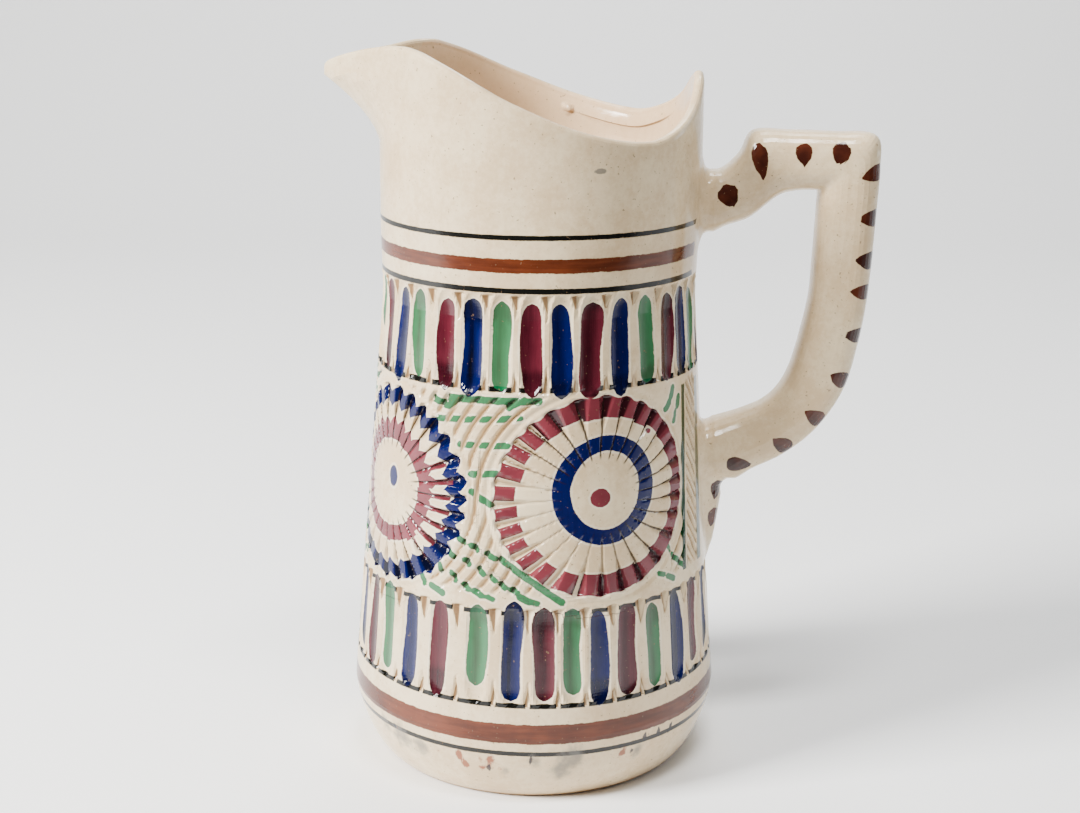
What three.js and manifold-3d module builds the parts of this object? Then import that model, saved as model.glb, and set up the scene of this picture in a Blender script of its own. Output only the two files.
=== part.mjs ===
// Carved pottery jug, one fired piece: a hollow tapering body, a beak spout, a scooped rim with a
// pointed peak above the handle, a squared loop handle with a tail, and bands of carving.
// Millimetres, +Z up. The origin is on the body's axis, on the flat underside.
// The handle points along +X and the spout along -X.
// Places on the wall are given by a bearing and a height. Bearing 0 is the side towards -Y,
// and bearings grow towards the handle, in degrees.

import * as THREE from "three";
import Module from "manifold-3d";

const wasm = await Module();
wasm.setup();

// Body, outside sizes
const WALL = 5.5;
const FLOOR = 7;
const FOOT_RADIUS = 55.5;
const SHOULDER_RADIUS = 67.9;
const SHOULDER_HEIGHT = 27;
const FOOT_EXPONENT = 1.48;
const WAIST_RADIUS = 56.8;
const WAIST_HEIGHT = 173;
const NECK_RADIUS = 57.6;
const NECK_HEIGHT = 205;
// The hand-thrown body leans a little, so that its neck sits this far towards the handle.
const NECK_DRIFT = 1.7;
const INNER_CORNER = 12;
const CORNER_SHARE = 0.3;

// Rim. The jug is highest on both sides of the spout, and the rest of the rim is set down from there.
const JUG_HEIGHT = 261.2;
const SPOUT_DIP = 7.2;
const RIM_SCOOP = 28.4;
const PEAK_DIP = 9.6;
const SPOUT_TIP_HEIGHT = JUG_HEIGHT - SPOUT_DIP;
const RIM_LOW = JUG_HEIGHT - RIM_SCOOP;
const RIM_PEAK = JUG_HEIGHT - PEAK_DIP;
// The rim is cut by hand. Its +Y side is higher than its -Y side, but lower beside the spout.
const RIM_TILT = 1.6;
const SPOUT_LEAN = 2.2;
const SPOUT_SIDE_ANGLE = 45;
const LIP_ROUND = 2.4;
// The rounded lip, by points [share of the way from the outer to the inner side, share of its height].
const LIP_SHAPE = [[0.22, 0.75], [0.55, 1], [0.85, 0.7]];

// Spout
const SPOUT_REACH = 76.6;
const SPOUT_TIP_RADIUS = 7.5;
const SPOUT_RISE = 26.1;
const SPOUT_STRAIGHTNESS = 0.5;
const SPOUT_WALL = 4.6;

// Handle
const HANDLE_REACH = 65;
const HANDLE_TOP = 231.2;
const HANDLE_LOW = 102;
const HANDLE_DEPTH = 21.5;
const HANDLE_EXPONENT = 2.7;
const ROOT_SPREAD_RATIO = 1.25;
const TAIL_END = 69.5;
const TAIL_PROUD = 10;
const TAIL_WIDTH = 23;
const TAIL_START_SHARE = 0.09;
const TAIL_EXPONENT = 0.8;
const BURIED_SHARE = 0.6;
const ROOT_SECTIONS = 3;

// Two bands of flutes, with chipped notches between them. One flute lies at the angle given.
const FULL_TURN = 360;
const FLUTE_COUNT = 34;
const FLUTE_ANGLE = -74.4;
const FLUTE_WIDTH = 6.6;
const FLUTE_DEPTH = 1.15;
const FLUTE_FLOOR_SHARE = 0.5;
const FLUTE_END_RATIO = 0.8;
const FLUTE_RUN_OUT = 1;
const UPPER_BAND = { low: 149, high: 181 };
const LOWER_BAND = { low: 39.8, high: 73 };
const NOTCH_WIDTH = 4;
const NOTCH_LENGTH = 8.5;
const NOTCH_DEPTH = 1.3;
const LOW_NOTCH_RATIO = 0.7;

// Rosettes
const ROSETTE_HEIGHT = 111.5;
const ROSETTE_HALF_WIDTH = 36.5;
const ROSETTE_HALF_HEIGHT = 34;
const ROSETTE_ANGLES = [21.5, -57.5, -133.5, -209.5];
const ROSETTE_GOUGES = 28;
const GOUGE_START_SHARE = 0.48;
const GOUGE_WIDTH = 5;
const GOUGE_DEPTH = 1.25;
const ROSETTE_MARGIN = 3.4;

// Curved grooves between the rosettes
const GROOVE_COUNT = 3;
const GROOVE_PITCH = 5.4;
const GROOVE_WIDTH = 3.4;
const GROOVE_DEPTH = 0.7;
const GROOVE_STOPS = 4;
const GROOVE_ANGLE = 82;
const GROOVE_ANGLE_STEP = 9;

// Upright columns of slanting cuts on both sides of the handle
const COLUMN_ANGLES = [70, 110];
const COLUMN_WIDTH = 11;
const COLUMN_LOW = 84;
const COLUMN_HIGH = 146;
const COLUMN_CUTS = 9;
const COLUMN_CUT_DEPTH = 0.9;
const COLUMN_SLANT_RATIO = 0.9;
const COLUMN_CUT_SHARE = 0.3;

// Facets
const SPOUT_HALF_ANGLE = 46;
const SPOUT_STEPS = 7;
const SPOUT_CROWDING = 1.5;
const SPOUT_GAP_SHARE = 1 / 3;
const HANDLE_SIDES = 12;
const TAIL_SIDES = 7;
const FOOT_SHARES = [0, 0.1, 0.3, 0.6];
const RIM_SHARES = [0.42, 0.6, 0.76, 0.9, 1];
const INNER_SHARES = [1, 0.8, 0.55];
const TAIL_SHARES = [0, 0.35, 0.65, 0.88];
const CUT_LIFT = 1.2;

const mix = (a, b, share) => a + (b - a) * share;
const clamp01 = (x) => Math.min(1, Math.max(0, x));
const ease = (x) => clamp01(x) ** 2 * (3 - 2 * clamp01(x));
const radians = THREE.MathUtils.degToRad;
const degrees = THREE.MathUtils.radToDeg;

// Smooth line through knots [x, y], with x growing.
function through(knots, x) {
  let i = 0;
  while (i < knots.length - 2 && x > knots[i + 1][0]) i += 1;
  const slope = (k) => {
    const before = knots[Math.max(0, k - 1)];
    const after = knots[Math.min(knots.length - 1, k + 1)];
    return (after[1] - before[1]) / (after[0] - before[0]);
  };
  const [x0, y0] = knots[i];
  const [x1, y1] = knots[i + 1];
  const t = clamp01((x - x0) / (x1 - x0));
  const rise = (slope(i) * (1 - t) ** 2 * t + slope(i + 1) * t ** 2 * (t - 1)) * (x1 - x0);
  return y0 * (1 + 2 * t) * (1 - t) ** 2 + y1 * t ** 2 * (3 - 2 * t) + rise;
}

// Outer radius of the turned body, without spout and carving.
function wallRadius(z) {
  if (z < SHOULDER_HEIGHT) {
    const drop = 1 - z / SHOULDER_HEIGHT;
    const share = (1 - drop ** FOOT_EXPONENT) ** (1 / FOOT_EXPONENT);
    return mix(FOOT_RADIUS, SHOULDER_RADIUS, share);
  }
  if (z < WAIST_HEIGHT) {
    const share = (z - SHOULDER_HEIGHT) / (WAIST_HEIGHT - SHOULDER_HEIGHT);
    return mix(SHOULDER_RADIUS, WAIST_RADIUS, share);
  }
  return mix(WAIST_RADIUS, NECK_RADIUS, ease((z - WAIST_HEIGHT) / (NECK_HEIGHT - WAIST_HEIGHT)));
}

// Angle away from the middle of the spout, 0 to 180 degrees.
function fromSpout(bearing) {
  const turned = THREE.MathUtils.euclideanModulo(bearing + 90, FULL_TURN);
  return Math.min(turned, FULL_TURN - turned);
}

// Height of the rim, by the angle from the middle of the spout.
const RIM_LINE = [
  [0, SPOUT_TIP_HEIGHT],
  [9, mix(SPOUT_TIP_HEIGHT, JUG_HEIGHT, 0.5)],
  [20, mix(SPOUT_TIP_HEIGHT, JUG_HEIGHT, 0.86)],
  [36, JUG_HEIGHT],
  [56, mix(JUG_HEIGHT, RIM_LOW, 0.18)],
  [80, mix(JUG_HEIGHT, RIM_LOW, 0.54)],
  [105, mix(JUG_HEIGHT, RIM_LOW, 0.86)],
  [130, RIM_LOW],
  [146, mix(RIM_LOW, RIM_PEAK, 0.17)],
  [160, mix(RIM_LOW, RIM_PEAK, 0.5)],
  [172, mix(RIM_LOW, RIM_PEAK, 0.88)],
  [180, RIM_PEAK],
];

function rimHeight(bearing) {
  const angle = fromSpout(bearing);
  const beside = Math.sin(Math.PI * clamp01(angle / SPOUT_SIDE_ANGLE));
  const along = Math.sin(Math.PI * clamp01((angle - SPOUT_SIDE_ANGLE) / (FULL_TURN / 2 - SPOUT_SIDE_ANGLE)));
  const far = Math.cos(radians(bearing)) < 0;
  const line = through(RIM_LINE, angle);
  return far ? line + RIM_TILT * along - SPOUT_LEAN * beside : line - RIM_TILT * along;
}

// Plan of the beak: a circle and a small tip circle, joined by their tangents.
function beakRadius(angle, round, reach, tip) {
  const middle = reach - tip;
  const touch = Math.acos(clamp01((round - tip) / middle));
  const a = radians(angle);
  if (a >= touch) return round;
  const tipTouch = Math.atan2(tip * Math.sin(touch), middle + tip * Math.cos(touch));
  if (a > tipTouch) return round / Math.cos(touch - a);
  return middle * Math.cos(a) + Math.sqrt(Math.max(0, tip ** 2 - (middle * Math.sin(a)) ** 2));
}

// How far the beak has come out of the wall, 0 below it and 1 at its lip.
function beakShare(z) {
  const t = clamp01(1 - (SPOUT_TIP_HEIGHT - SPOUT_WALL - z) / (SPOUT_RISE - SPOUT_WALL));
  return mix(t ** 2, t, SPOUT_STRAIGHTNESS);
}

function outerRadius(bearing, z) {
  const round = wallRadius(z);
  return mix(round, beakRadius(fromSpout(bearing), round, SPOUT_REACH, SPOUT_TIP_RADIUS), beakShare(z));
}

function innerRadius(bearing, z) {
  const round = wallRadius(z) - WALL;
  const reach = SPOUT_REACH - SPOUT_WALL;
  const tip = SPOUT_TIP_RADIUS - SPOUT_WALL;
  return mix(round, beakRadius(fromSpout(bearing), round, reach, tip), beakShare(z - SPOUT_WALL));
}

const drift = (z) => (
  NECK_DRIFT * clamp01((z - SHOULDER_HEIGHT) / (NECK_HEIGHT - SHOULDER_HEIGHT)) ** 2
);

const polar = (bearing, radius, z) => new THREE.Vector3(
  radius * Math.sin(radians(bearing)) + drift(z), -radius * Math.cos(radians(bearing)), z,
);

// Distance from the axis to a place sunk in the wall, on the side of the handle.
const sunkReach = (z) => wallRadius(z) - WALL * BURIED_SHARE + drift(z);

// Closed surface through rows of points. A row of one point is a tip, and an open end is capped.
function skin(rows) {
  const points = rows.flat();
  const starts = [];
  let count = 0;
  for (const row of rows) {
    starts.push(count);
    count += row.length;
  }
  const faces = [];
  for (let j = 0; j < rows.length - 1; j += 1) {
    const [a, b] = [starts[j], starts[j + 1]];
    const [na, nb] = [rows[j].length, rows[j + 1].length];
    const n = Math.max(na, nb);
    for (let i = 0; i < n; i += 1) {
      const k = (i + 1) % n;
      if (na === 1) faces.push([a, b + k, b + i]);
      else if (nb === 1) faces.push([a + i, a + k, b]);
      else faces.push([a + i, a + k, b + k], [a + i, b + k, b + i]);
    }
  }
  const last = rows.length - 1;
  for (let i = 1; i < rows[0].length - 1; i += 1) {
    faces.push([starts[0], starts[0] + i + 1, starts[0] + i]);
  }
  for (let i = 1; i < rows[last].length - 1; i += 1) {
    faces.push([starts[last], starts[last] + i, starts[last] + i + 1]);
  }
  return { points, faces };
}

// A closed surface as a solid, turned so that its faces point out.
function solid({ points, faces }) {
  let volume = 0;
  for (const [a, b, c] of faces) {
    volume += points[a].dot(new THREE.Vector3().crossVectors(points[b], points[c]));
  }
  const turned = volume < 0 ? faces.map(([a, b, c]) => [a, c, b]) : faces;
  return new wasm.Manifold(new wasm.Mesh({
    numProp: 3,
    vertProperties: new Float32Array(points.flatMap((p) => [p.x, p.y, p.z])),
    triVerts: new Uint32Array(turned.flat()),
  }));
}

// Bearings of the body's upright edges: between the flutes, and closer together at the spout.
function bodyBearings() {
  const bearings = [];
  for (let i = -SPOUT_STEPS; i <= SPOUT_STEPS; i += 1) {
    const t = i / SPOUT_STEPS;
    bearings.push(-90 + SPOUT_HALF_ANGLE * Math.sign(t) * Math.abs(t) ** SPOUT_CROWDING);
  }
  const pitch = FULL_TURN / FLUTE_COUNT;
  for (let i = 0; i < FLUTE_COUNT; i += 1) {
    const turned = THREE.MathUtils.euclideanModulo(FLUTE_ANGLE + pitch * (i + 0.5) + 90, FULL_TURN);
    const clear = SPOUT_HALF_ANGLE + pitch * SPOUT_GAP_SHARE;
    if (turned > clear && turned < FULL_TURN - clear) bearings.push(turned - 90);
  }
  return bearings.sort((p, q) => p - q);
}

function bodyRows() {
  const bearings = bodyBearings();
  const row = (place) => bearings.map((b) => {
    const [radius, z] = place(b);
    return polar(b, radius, z);
  });
  const rows = [[new THREE.Vector3(0, 0, 0)]];
  for (const share of FOOT_SHARES) {
    const z = SHOULDER_HEIGHT * share;
    rows.push(row(() => [wallRadius(z), z]));
  }
  for (const z of [SHOULDER_HEIGHT, WAIST_HEIGHT, NECK_HEIGHT]) {
    rows.push(row(() => [wallRadius(z), z]));
  }
  for (const share of RIM_SHARES) {
    rows.push(row((b) => {
      const z = mix(NECK_HEIGHT, rimHeight(b) - LIP_ROUND, share);
      return [outerRadius(b, z), z];
    }));
  }
  for (const [inwards, upwards] of LIP_SHAPE) {
    rows.push(row((b) => {
      const z = rimHeight(b) - LIP_ROUND;
      return [mix(outerRadius(b, z), innerRadius(b, z), inwards), z + LIP_ROUND * upwards];
    }));
  }
  for (const share of INNER_SHARES) {
    rows.push(row((b) => {
      const z = mix(NECK_HEIGHT, rimHeight(b) - LIP_ROUND, share);
      return [innerRadius(b, z), z];
    }));
  }
  for (const z of [NECK_HEIGHT, WAIST_HEIGHT]) {
    rows.push(row(() => [wallRadius(z) - WALL, z]));
  }
  const side = wallRadius(SHOULDER_HEIGHT) - WALL;
  rows.push(row(() => [side, FLOOR + INNER_CORNER]));
  rows.push(row(() => [side - INNER_CORNER * CORNER_SHARE, FLOOR + INNER_CORNER * CORNER_SHARE]));
  rows.push(row(() => [side - INNER_CORNER, FLOOR]));
  rows.push([new THREE.Vector3(0, 0, FLOOR)]);
  return rows;
}

// Handle sections, each by its outer and its inner point. The first number of a point is the share
// of the reach, and the second the share of the height between the lower root and the top.
const HANDLE_SECTIONS = [
  [[0.035, 0.899], [0.054, 0.707]],
  [[0.125, 0.892], [0.155, 0.732]],
  [[0.225, 0.937], [0.286, 0.755]],
  [[0.295, 0.999], [0.435, 0.813]],
  [[0.5, 1.0], [0.52, 0.828]],
  [[0.748, 0.996], [0.61, 0.831]],
  [[0.971, 0.987], [0.652, 0.825]],
  [[0.998, 0.9], [0.652, 0.775]],
  [[0.989, 0.775], [0.648, 0.71]],
  [[0.977, 0.639], [0.64, 0.619]],
  [[0.957, 0.51], [0.629, 0.53]],
  [[0.922, 0.4], [0.589, 0.426]],
  [[0.871, 0.292], [0.54, 0.333]],
  [[0.788, 0.208], [0.478, 0.271]],
  [[0.666, 0.132], [0.394, 0.231]],
  [[0.509, 0.072], [0.286, 0.207]],
  [[0.357, 0.035], [0.178, 0.189]],
  [[0.228, 0.0], [0.071, 0.175]],
];

function handleRow(outer, inner, halfDepth) {
  const middle = outer.clone().add(inner).multiplyScalar(0.5);
  const across = outer.clone().sub(inner).multiplyScalar(0.5);
  const bend = (x) => Math.sign(x) * Math.abs(x) ** (2 / HANDLE_EXPONENT);
  return Array.from({ length: HANDLE_SIDES }, (_, i) => {
    const a = (2 * Math.PI * (i + 0.5)) / HANDLE_SIDES;
    return middle.clone().addScaledVector(across, bend(Math.cos(a)))
      .add(new THREE.Vector3(0, halfDepth * bend(Math.sin(a)), 0));
  });
}

function handleRows() {
  const place = ([reach, rise]) => new THREE.Vector3(
    NECK_RADIUS + HANDLE_REACH * reach, 0, mix(HANDLE_LOW, HANDLE_TOP, rise),
  );
  const buried = (point) => new THREE.Vector3(sunkReach(point.z), 0, point.z);
  const pairs = HANDLE_SECTIONS.map((pair) => pair.map(place));
  const last = pairs.length - 1;
  pairs.unshift(pairs[0].map(buried));
  pairs.push(pairs[last + 1].map(buried));
  return pairs.map(([outer, inner], i) => {
    const nearEnd = Math.min(i, pairs.length - 1 - i);
    const spread = mix(ROOT_SPREAD_RATIO, 1, ease(nearEnd / ROOT_SECTIONS));
    return handleRow(outer, inner, (HANDLE_DEPTH / 2) * spread);
  });
}

// The tail under the lower root, tapering out on the wall.
function tailRows() {
  const top = mix(HANDLE_LOW, HANDLE_TOP, TAIL_START_SHARE);
  const rows = TAIL_SHARES.map((share) => {
    const z = mix(top, TAIL_END, share);
    const sunk = sunkReach(z);
    const out = WALL * BURIED_SHARE + TAIL_PROUD * (1 - share) ** TAIL_EXPONENT;
    const half = (TAIL_WIDTH / 2) * Math.sqrt(1 - share ** 2);
    return Array.from({ length: TAIL_SIDES + 1 }, (_, i) => {
      const a = (Math.PI * i) / TAIL_SIDES;
      return new THREE.Vector3(sunk + out * Math.sin(a), half * Math.cos(a), z);
    });
  });
  rows.push([new THREE.Vector3(sunkReach(TAIL_END) + (WALL * BURIED_SHARE) / 2, 0, TAIL_END)]);
  return rows;
}

// A cut along a path on the wall. Each stop is [bearing, height, half width, depth], and a stop of
// no width is a tip. The flat share is how much of the width its bottom takes.
function cutter(stops, flat = 0) {
  const at = (k) => stops[THREE.MathUtils.clamp(k, 0, stops.length - 1)];
  const rows = stops.map(([bearing, z, half, depth], k) => {
    const radius = wallRadius(z);
    if (half === 0) return [polar(bearing, radius + CUT_LIFT, z)];
    const [before, after] = [at(k - 1), at(k + 1)];
    const turn = radius * radians(after[0] - before[0]);
    const along = new THREE.Vector2(turn, after[1] - before[1]).normalize();
    const place = (side, out) => polar(
      bearing + degrees((-along.y * side) / radius), radius + out, z + along.x * side,
    );
    const top = half * (1 + ((1 - flat) * CUT_LIFT) / depth);
    const bottom = flat > 0
      ? [place(half * flat, -depth), place(-half * flat, -depth)]
      : [place(0, -depth)];
    return [place(top, CUT_LIFT), ...bottom, place(-top, CUT_LIFT)];
  });
  return skin(rows);
}

function fluteCuts({ low, high }) {
  const half = FLUTE_WIDTH / 2;
  const end = FLUTE_WIDTH * FLUTE_END_RATIO;
  const pitch = FULL_TURN / FLUTE_COUNT;
  const notch = NOTCH_WIDTH / 2;
  const cuts = [];
  for (let i = 0; i < FLUTE_COUNT; i += 1) {
    const b = FLUTE_ANGLE + i * pitch;
    cuts.push(cutter([
      [b, low - FLUTE_RUN_OUT, 0, 0],
      [b, low + end, half, FLUTE_DEPTH],
      [b, high - end, half, FLUTE_DEPTH],
      [b, high + FLUTE_RUN_OUT, 0, 0],
    ], FLUTE_FLOOR_SHARE));
    const between = b + pitch / 2;
    cuts.push(cutter([
      [between, high, notch, NOTCH_DEPTH],
      [between, high - NOTCH_LENGTH, 0, 0],
    ]));
    cuts.push(cutter([
      [between, low, notch * LOW_NOTCH_RATIO, NOTCH_DEPTH],
      [between, low + NOTCH_LENGTH, 0, 0],
    ]));
  }
  return cuts;
}

// A place on a rosette, by its share of the radius and its clock angle.
function rosettePlace(bearing, share, clock) {
  const radius = wallRadius(ROSETTE_HEIGHT);
  const z = ROSETTE_HEIGHT + ROSETTE_HALF_HEIGHT * share * Math.cos(radians(clock));
  return [bearing + degrees((ROSETTE_HALF_WIDTH * share * Math.sin(radians(clock))) / radius), z];
}

function rosetteCuts(bearing) {
  const cuts = [];
  for (let i = 0; i < ROSETTE_GOUGES; i += 1) {
    const clock = (FULL_TURN * i) / ROSETTE_GOUGES;
    cuts.push(cutter([
      [...rosettePlace(bearing, GOUGE_START_SHARE, clock), 0, 0],
      [...rosettePlace(bearing, 1, clock), GOUGE_WIDTH / 2, GOUGE_DEPTH],
    ]));
  }
  return cuts;
}

// Nested arcs round one rosette, in the corner between it and its neighbour.
function grooveCuts(bearing, side, up) {
  const cuts = [];
  for (let k = 1; k <= GROOVE_COUNT; k += 1) {
    const share = 1 + (ROSETTE_MARGIN + GROOVE_PITCH * (k - 0.5)) / ROSETTE_HALF_WIDTH;
    const first = degrees(Math.acos(clamp01((1 + ROSETTE_MARGIN / 2 / ROSETTE_HALF_HEIGHT) / share)));
    const last = GROOVE_ANGLE - GROOVE_ANGLE_STEP * (k - 1);
    const stops = [];
    for (let i = 0; i <= GROOVE_STOPS; i += 1) {
      const turn = mix(first, last, i / GROOVE_STOPS);
      const clock = up ? side * turn : 180 - side * turn;
      const half = i === 0 || i === GROOVE_STOPS ? 0 : GROOVE_WIDTH / 2;
      stops.push([...rosettePlace(bearing, share, clock), half, GROOVE_DEPTH]);
    }
    cuts.push(cutter(stops));
  }
  return cuts;
}

function columnCuts(bearing) {
  const cuts = [];
  const radius = wallRadius(ROSETTE_HEIGHT);
  const half = degrees(COLUMN_WIDTH / 2 / radius);
  const side = bearing < 90 ? 1 : -1;
  const step = (COLUMN_HIGH - COLUMN_LOW) / COLUMN_CUTS;
  for (let i = 0; i < COLUMN_CUTS; i += 1) {
    const z = COLUMN_LOW + step * (i + 0.5);
    cuts.push(cutter([
      [bearing - half * side, z - step * COLUMN_SLANT_RATIO, 0, 0],
      [bearing, z, step * COLUMN_CUT_SHARE, COLUMN_CUT_DEPTH],
      [bearing + half * side, z + step * COLUMN_SLANT_RATIO, 0, 0],
    ]));
  }
  return cuts;
}

function makeJug() {
  const body = solid(skin(bodyRows()));
  const cuts = [
    ...fluteCuts(UPPER_BAND),
    ...fluteCuts(LOWER_BAND),
    ...ROSETTE_ANGLES.flatMap(rosetteCuts),
    ...COLUMN_ANGLES.flatMap(columnCuts),
  ];
  for (let i = 0; i + 1 < ROSETTE_ANGLES.length; i += 1) {
    cuts.push(...grooveCuts(ROSETTE_ANGLES[i], -1, true));
    cuts.push(...grooveCuts(ROSETTE_ANGLES[i + 1], 1, false));
  }
  let carved = body;
  for (const cut of cuts) carved = carved.subtract(solid(cut));
  const handle = solid(skin(handleRows())).add(solid(skin(tailRows())));
  const { vertProperties, triVerts } = carved.add(handle).getMesh();
  const geometry = new THREE.BufferGeometry();
  geometry.setAttribute("position", new THREE.BufferAttribute(vertProperties, 3));
  geometry.setIndex(new THREE.BufferAttribute(triVerts, 1));
  geometry.computeVertexNormals();
  const glaze = new THREE.MeshStandardMaterial({ color: 0xe9dfc9, roughness: 0.25, metalness: 0 });
  const mesh = new THREE.Mesh(geometry, glaze);
  mesh.name = "jug";
  return mesh;
}

const group = new THREE.Group();
group.add(makeJug());

export default group;
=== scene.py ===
"""Carved and painted pottery jug, as one fine mesh over its CAD solid, with a procedural glaze.

Sizes are in millimetres until the mesh is made, in the CAD frame: +Z up, the handle along +X, the
spout along -X. A place on the wall is a bearing and a height. Bearing 0 is the side towards -Y,
and bearings grow towards the handle, in degrees.
"""

import bmesh
import bpy
import numpy as np
from mathutils import Matrix, Vector
from mathutils.kdtree import KDTree


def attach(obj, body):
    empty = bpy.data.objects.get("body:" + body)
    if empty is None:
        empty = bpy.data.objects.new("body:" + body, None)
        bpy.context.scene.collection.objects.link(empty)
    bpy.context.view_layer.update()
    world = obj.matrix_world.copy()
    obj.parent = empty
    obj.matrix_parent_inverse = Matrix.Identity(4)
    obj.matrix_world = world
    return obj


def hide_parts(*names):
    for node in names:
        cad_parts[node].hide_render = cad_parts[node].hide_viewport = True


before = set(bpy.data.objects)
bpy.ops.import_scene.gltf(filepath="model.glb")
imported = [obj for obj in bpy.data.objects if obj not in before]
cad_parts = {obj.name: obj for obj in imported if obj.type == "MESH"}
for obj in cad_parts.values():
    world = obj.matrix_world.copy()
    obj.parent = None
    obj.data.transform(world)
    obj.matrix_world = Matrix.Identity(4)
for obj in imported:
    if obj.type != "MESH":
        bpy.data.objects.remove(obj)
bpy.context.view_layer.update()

SEED = 11
MM = 0.001
# Distance from a painted mark beyond which it no longer counts
FAR = 4.0

# Body, as in the CAD model. The solid's facets cut inside the round wall by the inset.
WALL = 5.5
FLOOR = 7
FOOT_RADIUS = 55.5
SHOULDER_RADIUS = 67.9
SHOULDER_HEIGHT = 27
FOOT_EXPONENT = 1.48
WAIST_RADIUS = 56.8
WAIST_HEIGHT = 173
NECK_RADIUS = 57.6
NECK_HEIGHT = 205
NECK_DRIFT = 1.7
INNER_CORNER = 12
FACET_INSET = 0.28

# Rim and spout
JUG_HEIGHT = 261.1
SPOUT_DIP = 7.2
RIM_SCOOP = 28.4
PEAK_DIP = 9.6
SPOUT_TIP_HEIGHT = JUG_HEIGHT - SPOUT_DIP
RIM_LOW = JUG_HEIGHT - RIM_SCOOP
RIM_PEAK = JUG_HEIGHT - PEAK_DIP
RIM_TILT = 1.6
SPOUT_LEAN = 2.2
SPOUT_SIDE_ANGLE = 45
RIM_SPARE = 0.04
LIP_ROUND = 2.4
SPOUT_REACH = 76.55
SPOUT_TIP_RADIUS = 7.5
SPOUT_RISE = 26.1
SPOUT_STRAIGHTNESS = 0.5
SPOUT_WALL = 4.6

# Handle
HANDLE_REACH = 65
HANDLE_TOP = 231.2
HANDLE_LOW = 102
HANDLE_DEPTH = 21.5
HANDLE_EXPONENT = 2.7
HANDLE_FIT = 0.968
ROOT_SPREAD = 1.25
TAIL_START_SHARE = 0.09
TAIL_END = 69.5
TAIL_PROUD = 10
TAIL_WIDTH = 23
TAIL_EXPONENT = 0.8
BURIED_SHARE = 0.6

# Flutes and notches
FLUTE_COUNT = 34
FLUTE_ANGLE = -74.4
FLUTE_WIDTH = 7.6
FLUTE_DEPTH = 1.1
FLUTE_END_RATIO = 0.8
UPPER_BAND = (149.0, 181.0)
LOWER_BAND = (39.8, 73.0)
NOTCH_WIDTH = 4.6
NOTCH_LENGTH = 9.0
NOTCH_DEPTH = 1.3
LOW_NOTCH_RATIO = 0.72
NOTCH_CLIP = 1.3

# Strokes in the flutes seen in front: the colour's letter, bearing, top, bottom and width
UPPER_SEEN = (
    ("G", -76.5, 181.0, 161.0, 6.0), ("M", -67.0, 180.5, 149.5, 6.4), ("B", -56.0, 180.0, 146.5, 6.6),
    ("G", -46.3, 180.3, 150.2, 6.2), ("M", -33.4, 178.9, 147.8, 7.0), ("B", -23.2, 179.8, 146.6, 7.4),
    ("G", -12.8, 179.2, 149.0, 6.4), ("M", -2.3, 178.8, 147.4, 7.2), ("B", 7.8, 178.6, 146.8, 7.0),
    ("M", 18.1, 178.8, 146.4, 8.0), ("B", 29.2, 179.4, 146.0, 6.8), ("G", 40.5, 179.2, 149.2, 6.6),
    ("M", 51.4, 178.6, 148.0, 7.2), ("B", 60.4, 180.0, 149.2, 7.4), ("G", 69.5, 178.0, 148.0, 7.0),
)
LOWER_SEEN = (
    ("B", -74.5, 73.5, 41.5, 6.4), ("M", -64.0, 73.6, 39.6, 6.6), ("G", -54.0, 74.2, 41.6, 6.4),
    ("B", -42.6, 72.7, 38.8, 6.6), ("M", -31.0, 73.7, 38.9, 6.8), ("G", -17.8, 74.4, 45.0, 7.2),
    ("B", -6.8, 76.4, 40.4, 7.1), ("M", 3.0, 74.2, 40.8, 7.6), ("G", 11.7, 73.7, 42.3, 6.4),
    ("B", 20.3, 71.8, 38.2, 6.9), ("M", 30.0, 72.7, 39.8, 7.7), ("G", 40.6, 70.4, 40.1, 6.5),
    ("B", 51.5, 72.3, 37.5, 7.3), ("M", 62.0, 73.3, 41.5, 6.6), ("B", 73.5, 74.0, 42.0, 6.6),
)

# Rosettes: bearing, height, half width, half height and painting
ROSETTES = (
    (21.5, 112.0, 37.2, 34.3, "red"),
    (-57.5, 110.0, 36.0, 34.0, "blue"),
    (-133.5, 111.5, 36.5, 34.0, "red"),
    (-209.5, 111.5, 36.5, 34.0, "blue"),
)
ROSETTE_GOUGES = 28
GOUGE_START = 0.42
GOUGE_OPEN = 0.66
GOUGE_LINE = 0.45
GOUGE_WIDTH = 5.4
GOUGE_DEPTH = 1.5
GOUGE_SKEW = 0.35
GOUGE_EASE = 0.06
GOUGE_END = 1.045
THIN_GOUGE = 0.25
LEAN_SLOW, LEAN_FAST = (0.10, 0.6), (0.06, 1.0)
MOAT_START = 1.04
MOAT_WIDTH = 3.0
MOAT_DEPTH = 0.45

# Curved grooves between the rosettes
GROOVE_PITCH = 4.4
GROOVE_DEPTH = 1.25
GROOVE_ZONE = (79.0, 147.0)
GROOVE_TURN = (98, 118)
GROOVE_RISE = 0.28
CLEAR_OF_ROSETTE = (2.2, 3.6)
GAP_WIDTH = 9.0
GAP_REACH = 38
# The grooves beside a column: their width from its middle, reach from the rosette and top
SIDE_ZONE = (-16, -7)
SIDE_REACH = 16
SIDE_TOP = (103, 96)

# Columns of slanting cuts by the handle
COLUMN_FOOT, COLUMN_HEAD = 64.0, 67.7
COLUMN_WIDTH = 9.6
COLUMN_ZONE = (80.0, 147.0)
COLUMN_PITCH = 4.2
COLUMN_SLANT = 1.2
COLUMN_LINES = (7.0, 7.3)
COLUMN_LINE_DROP = 2
COLUMN_STROKES = (2.1, 1.25)

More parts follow.
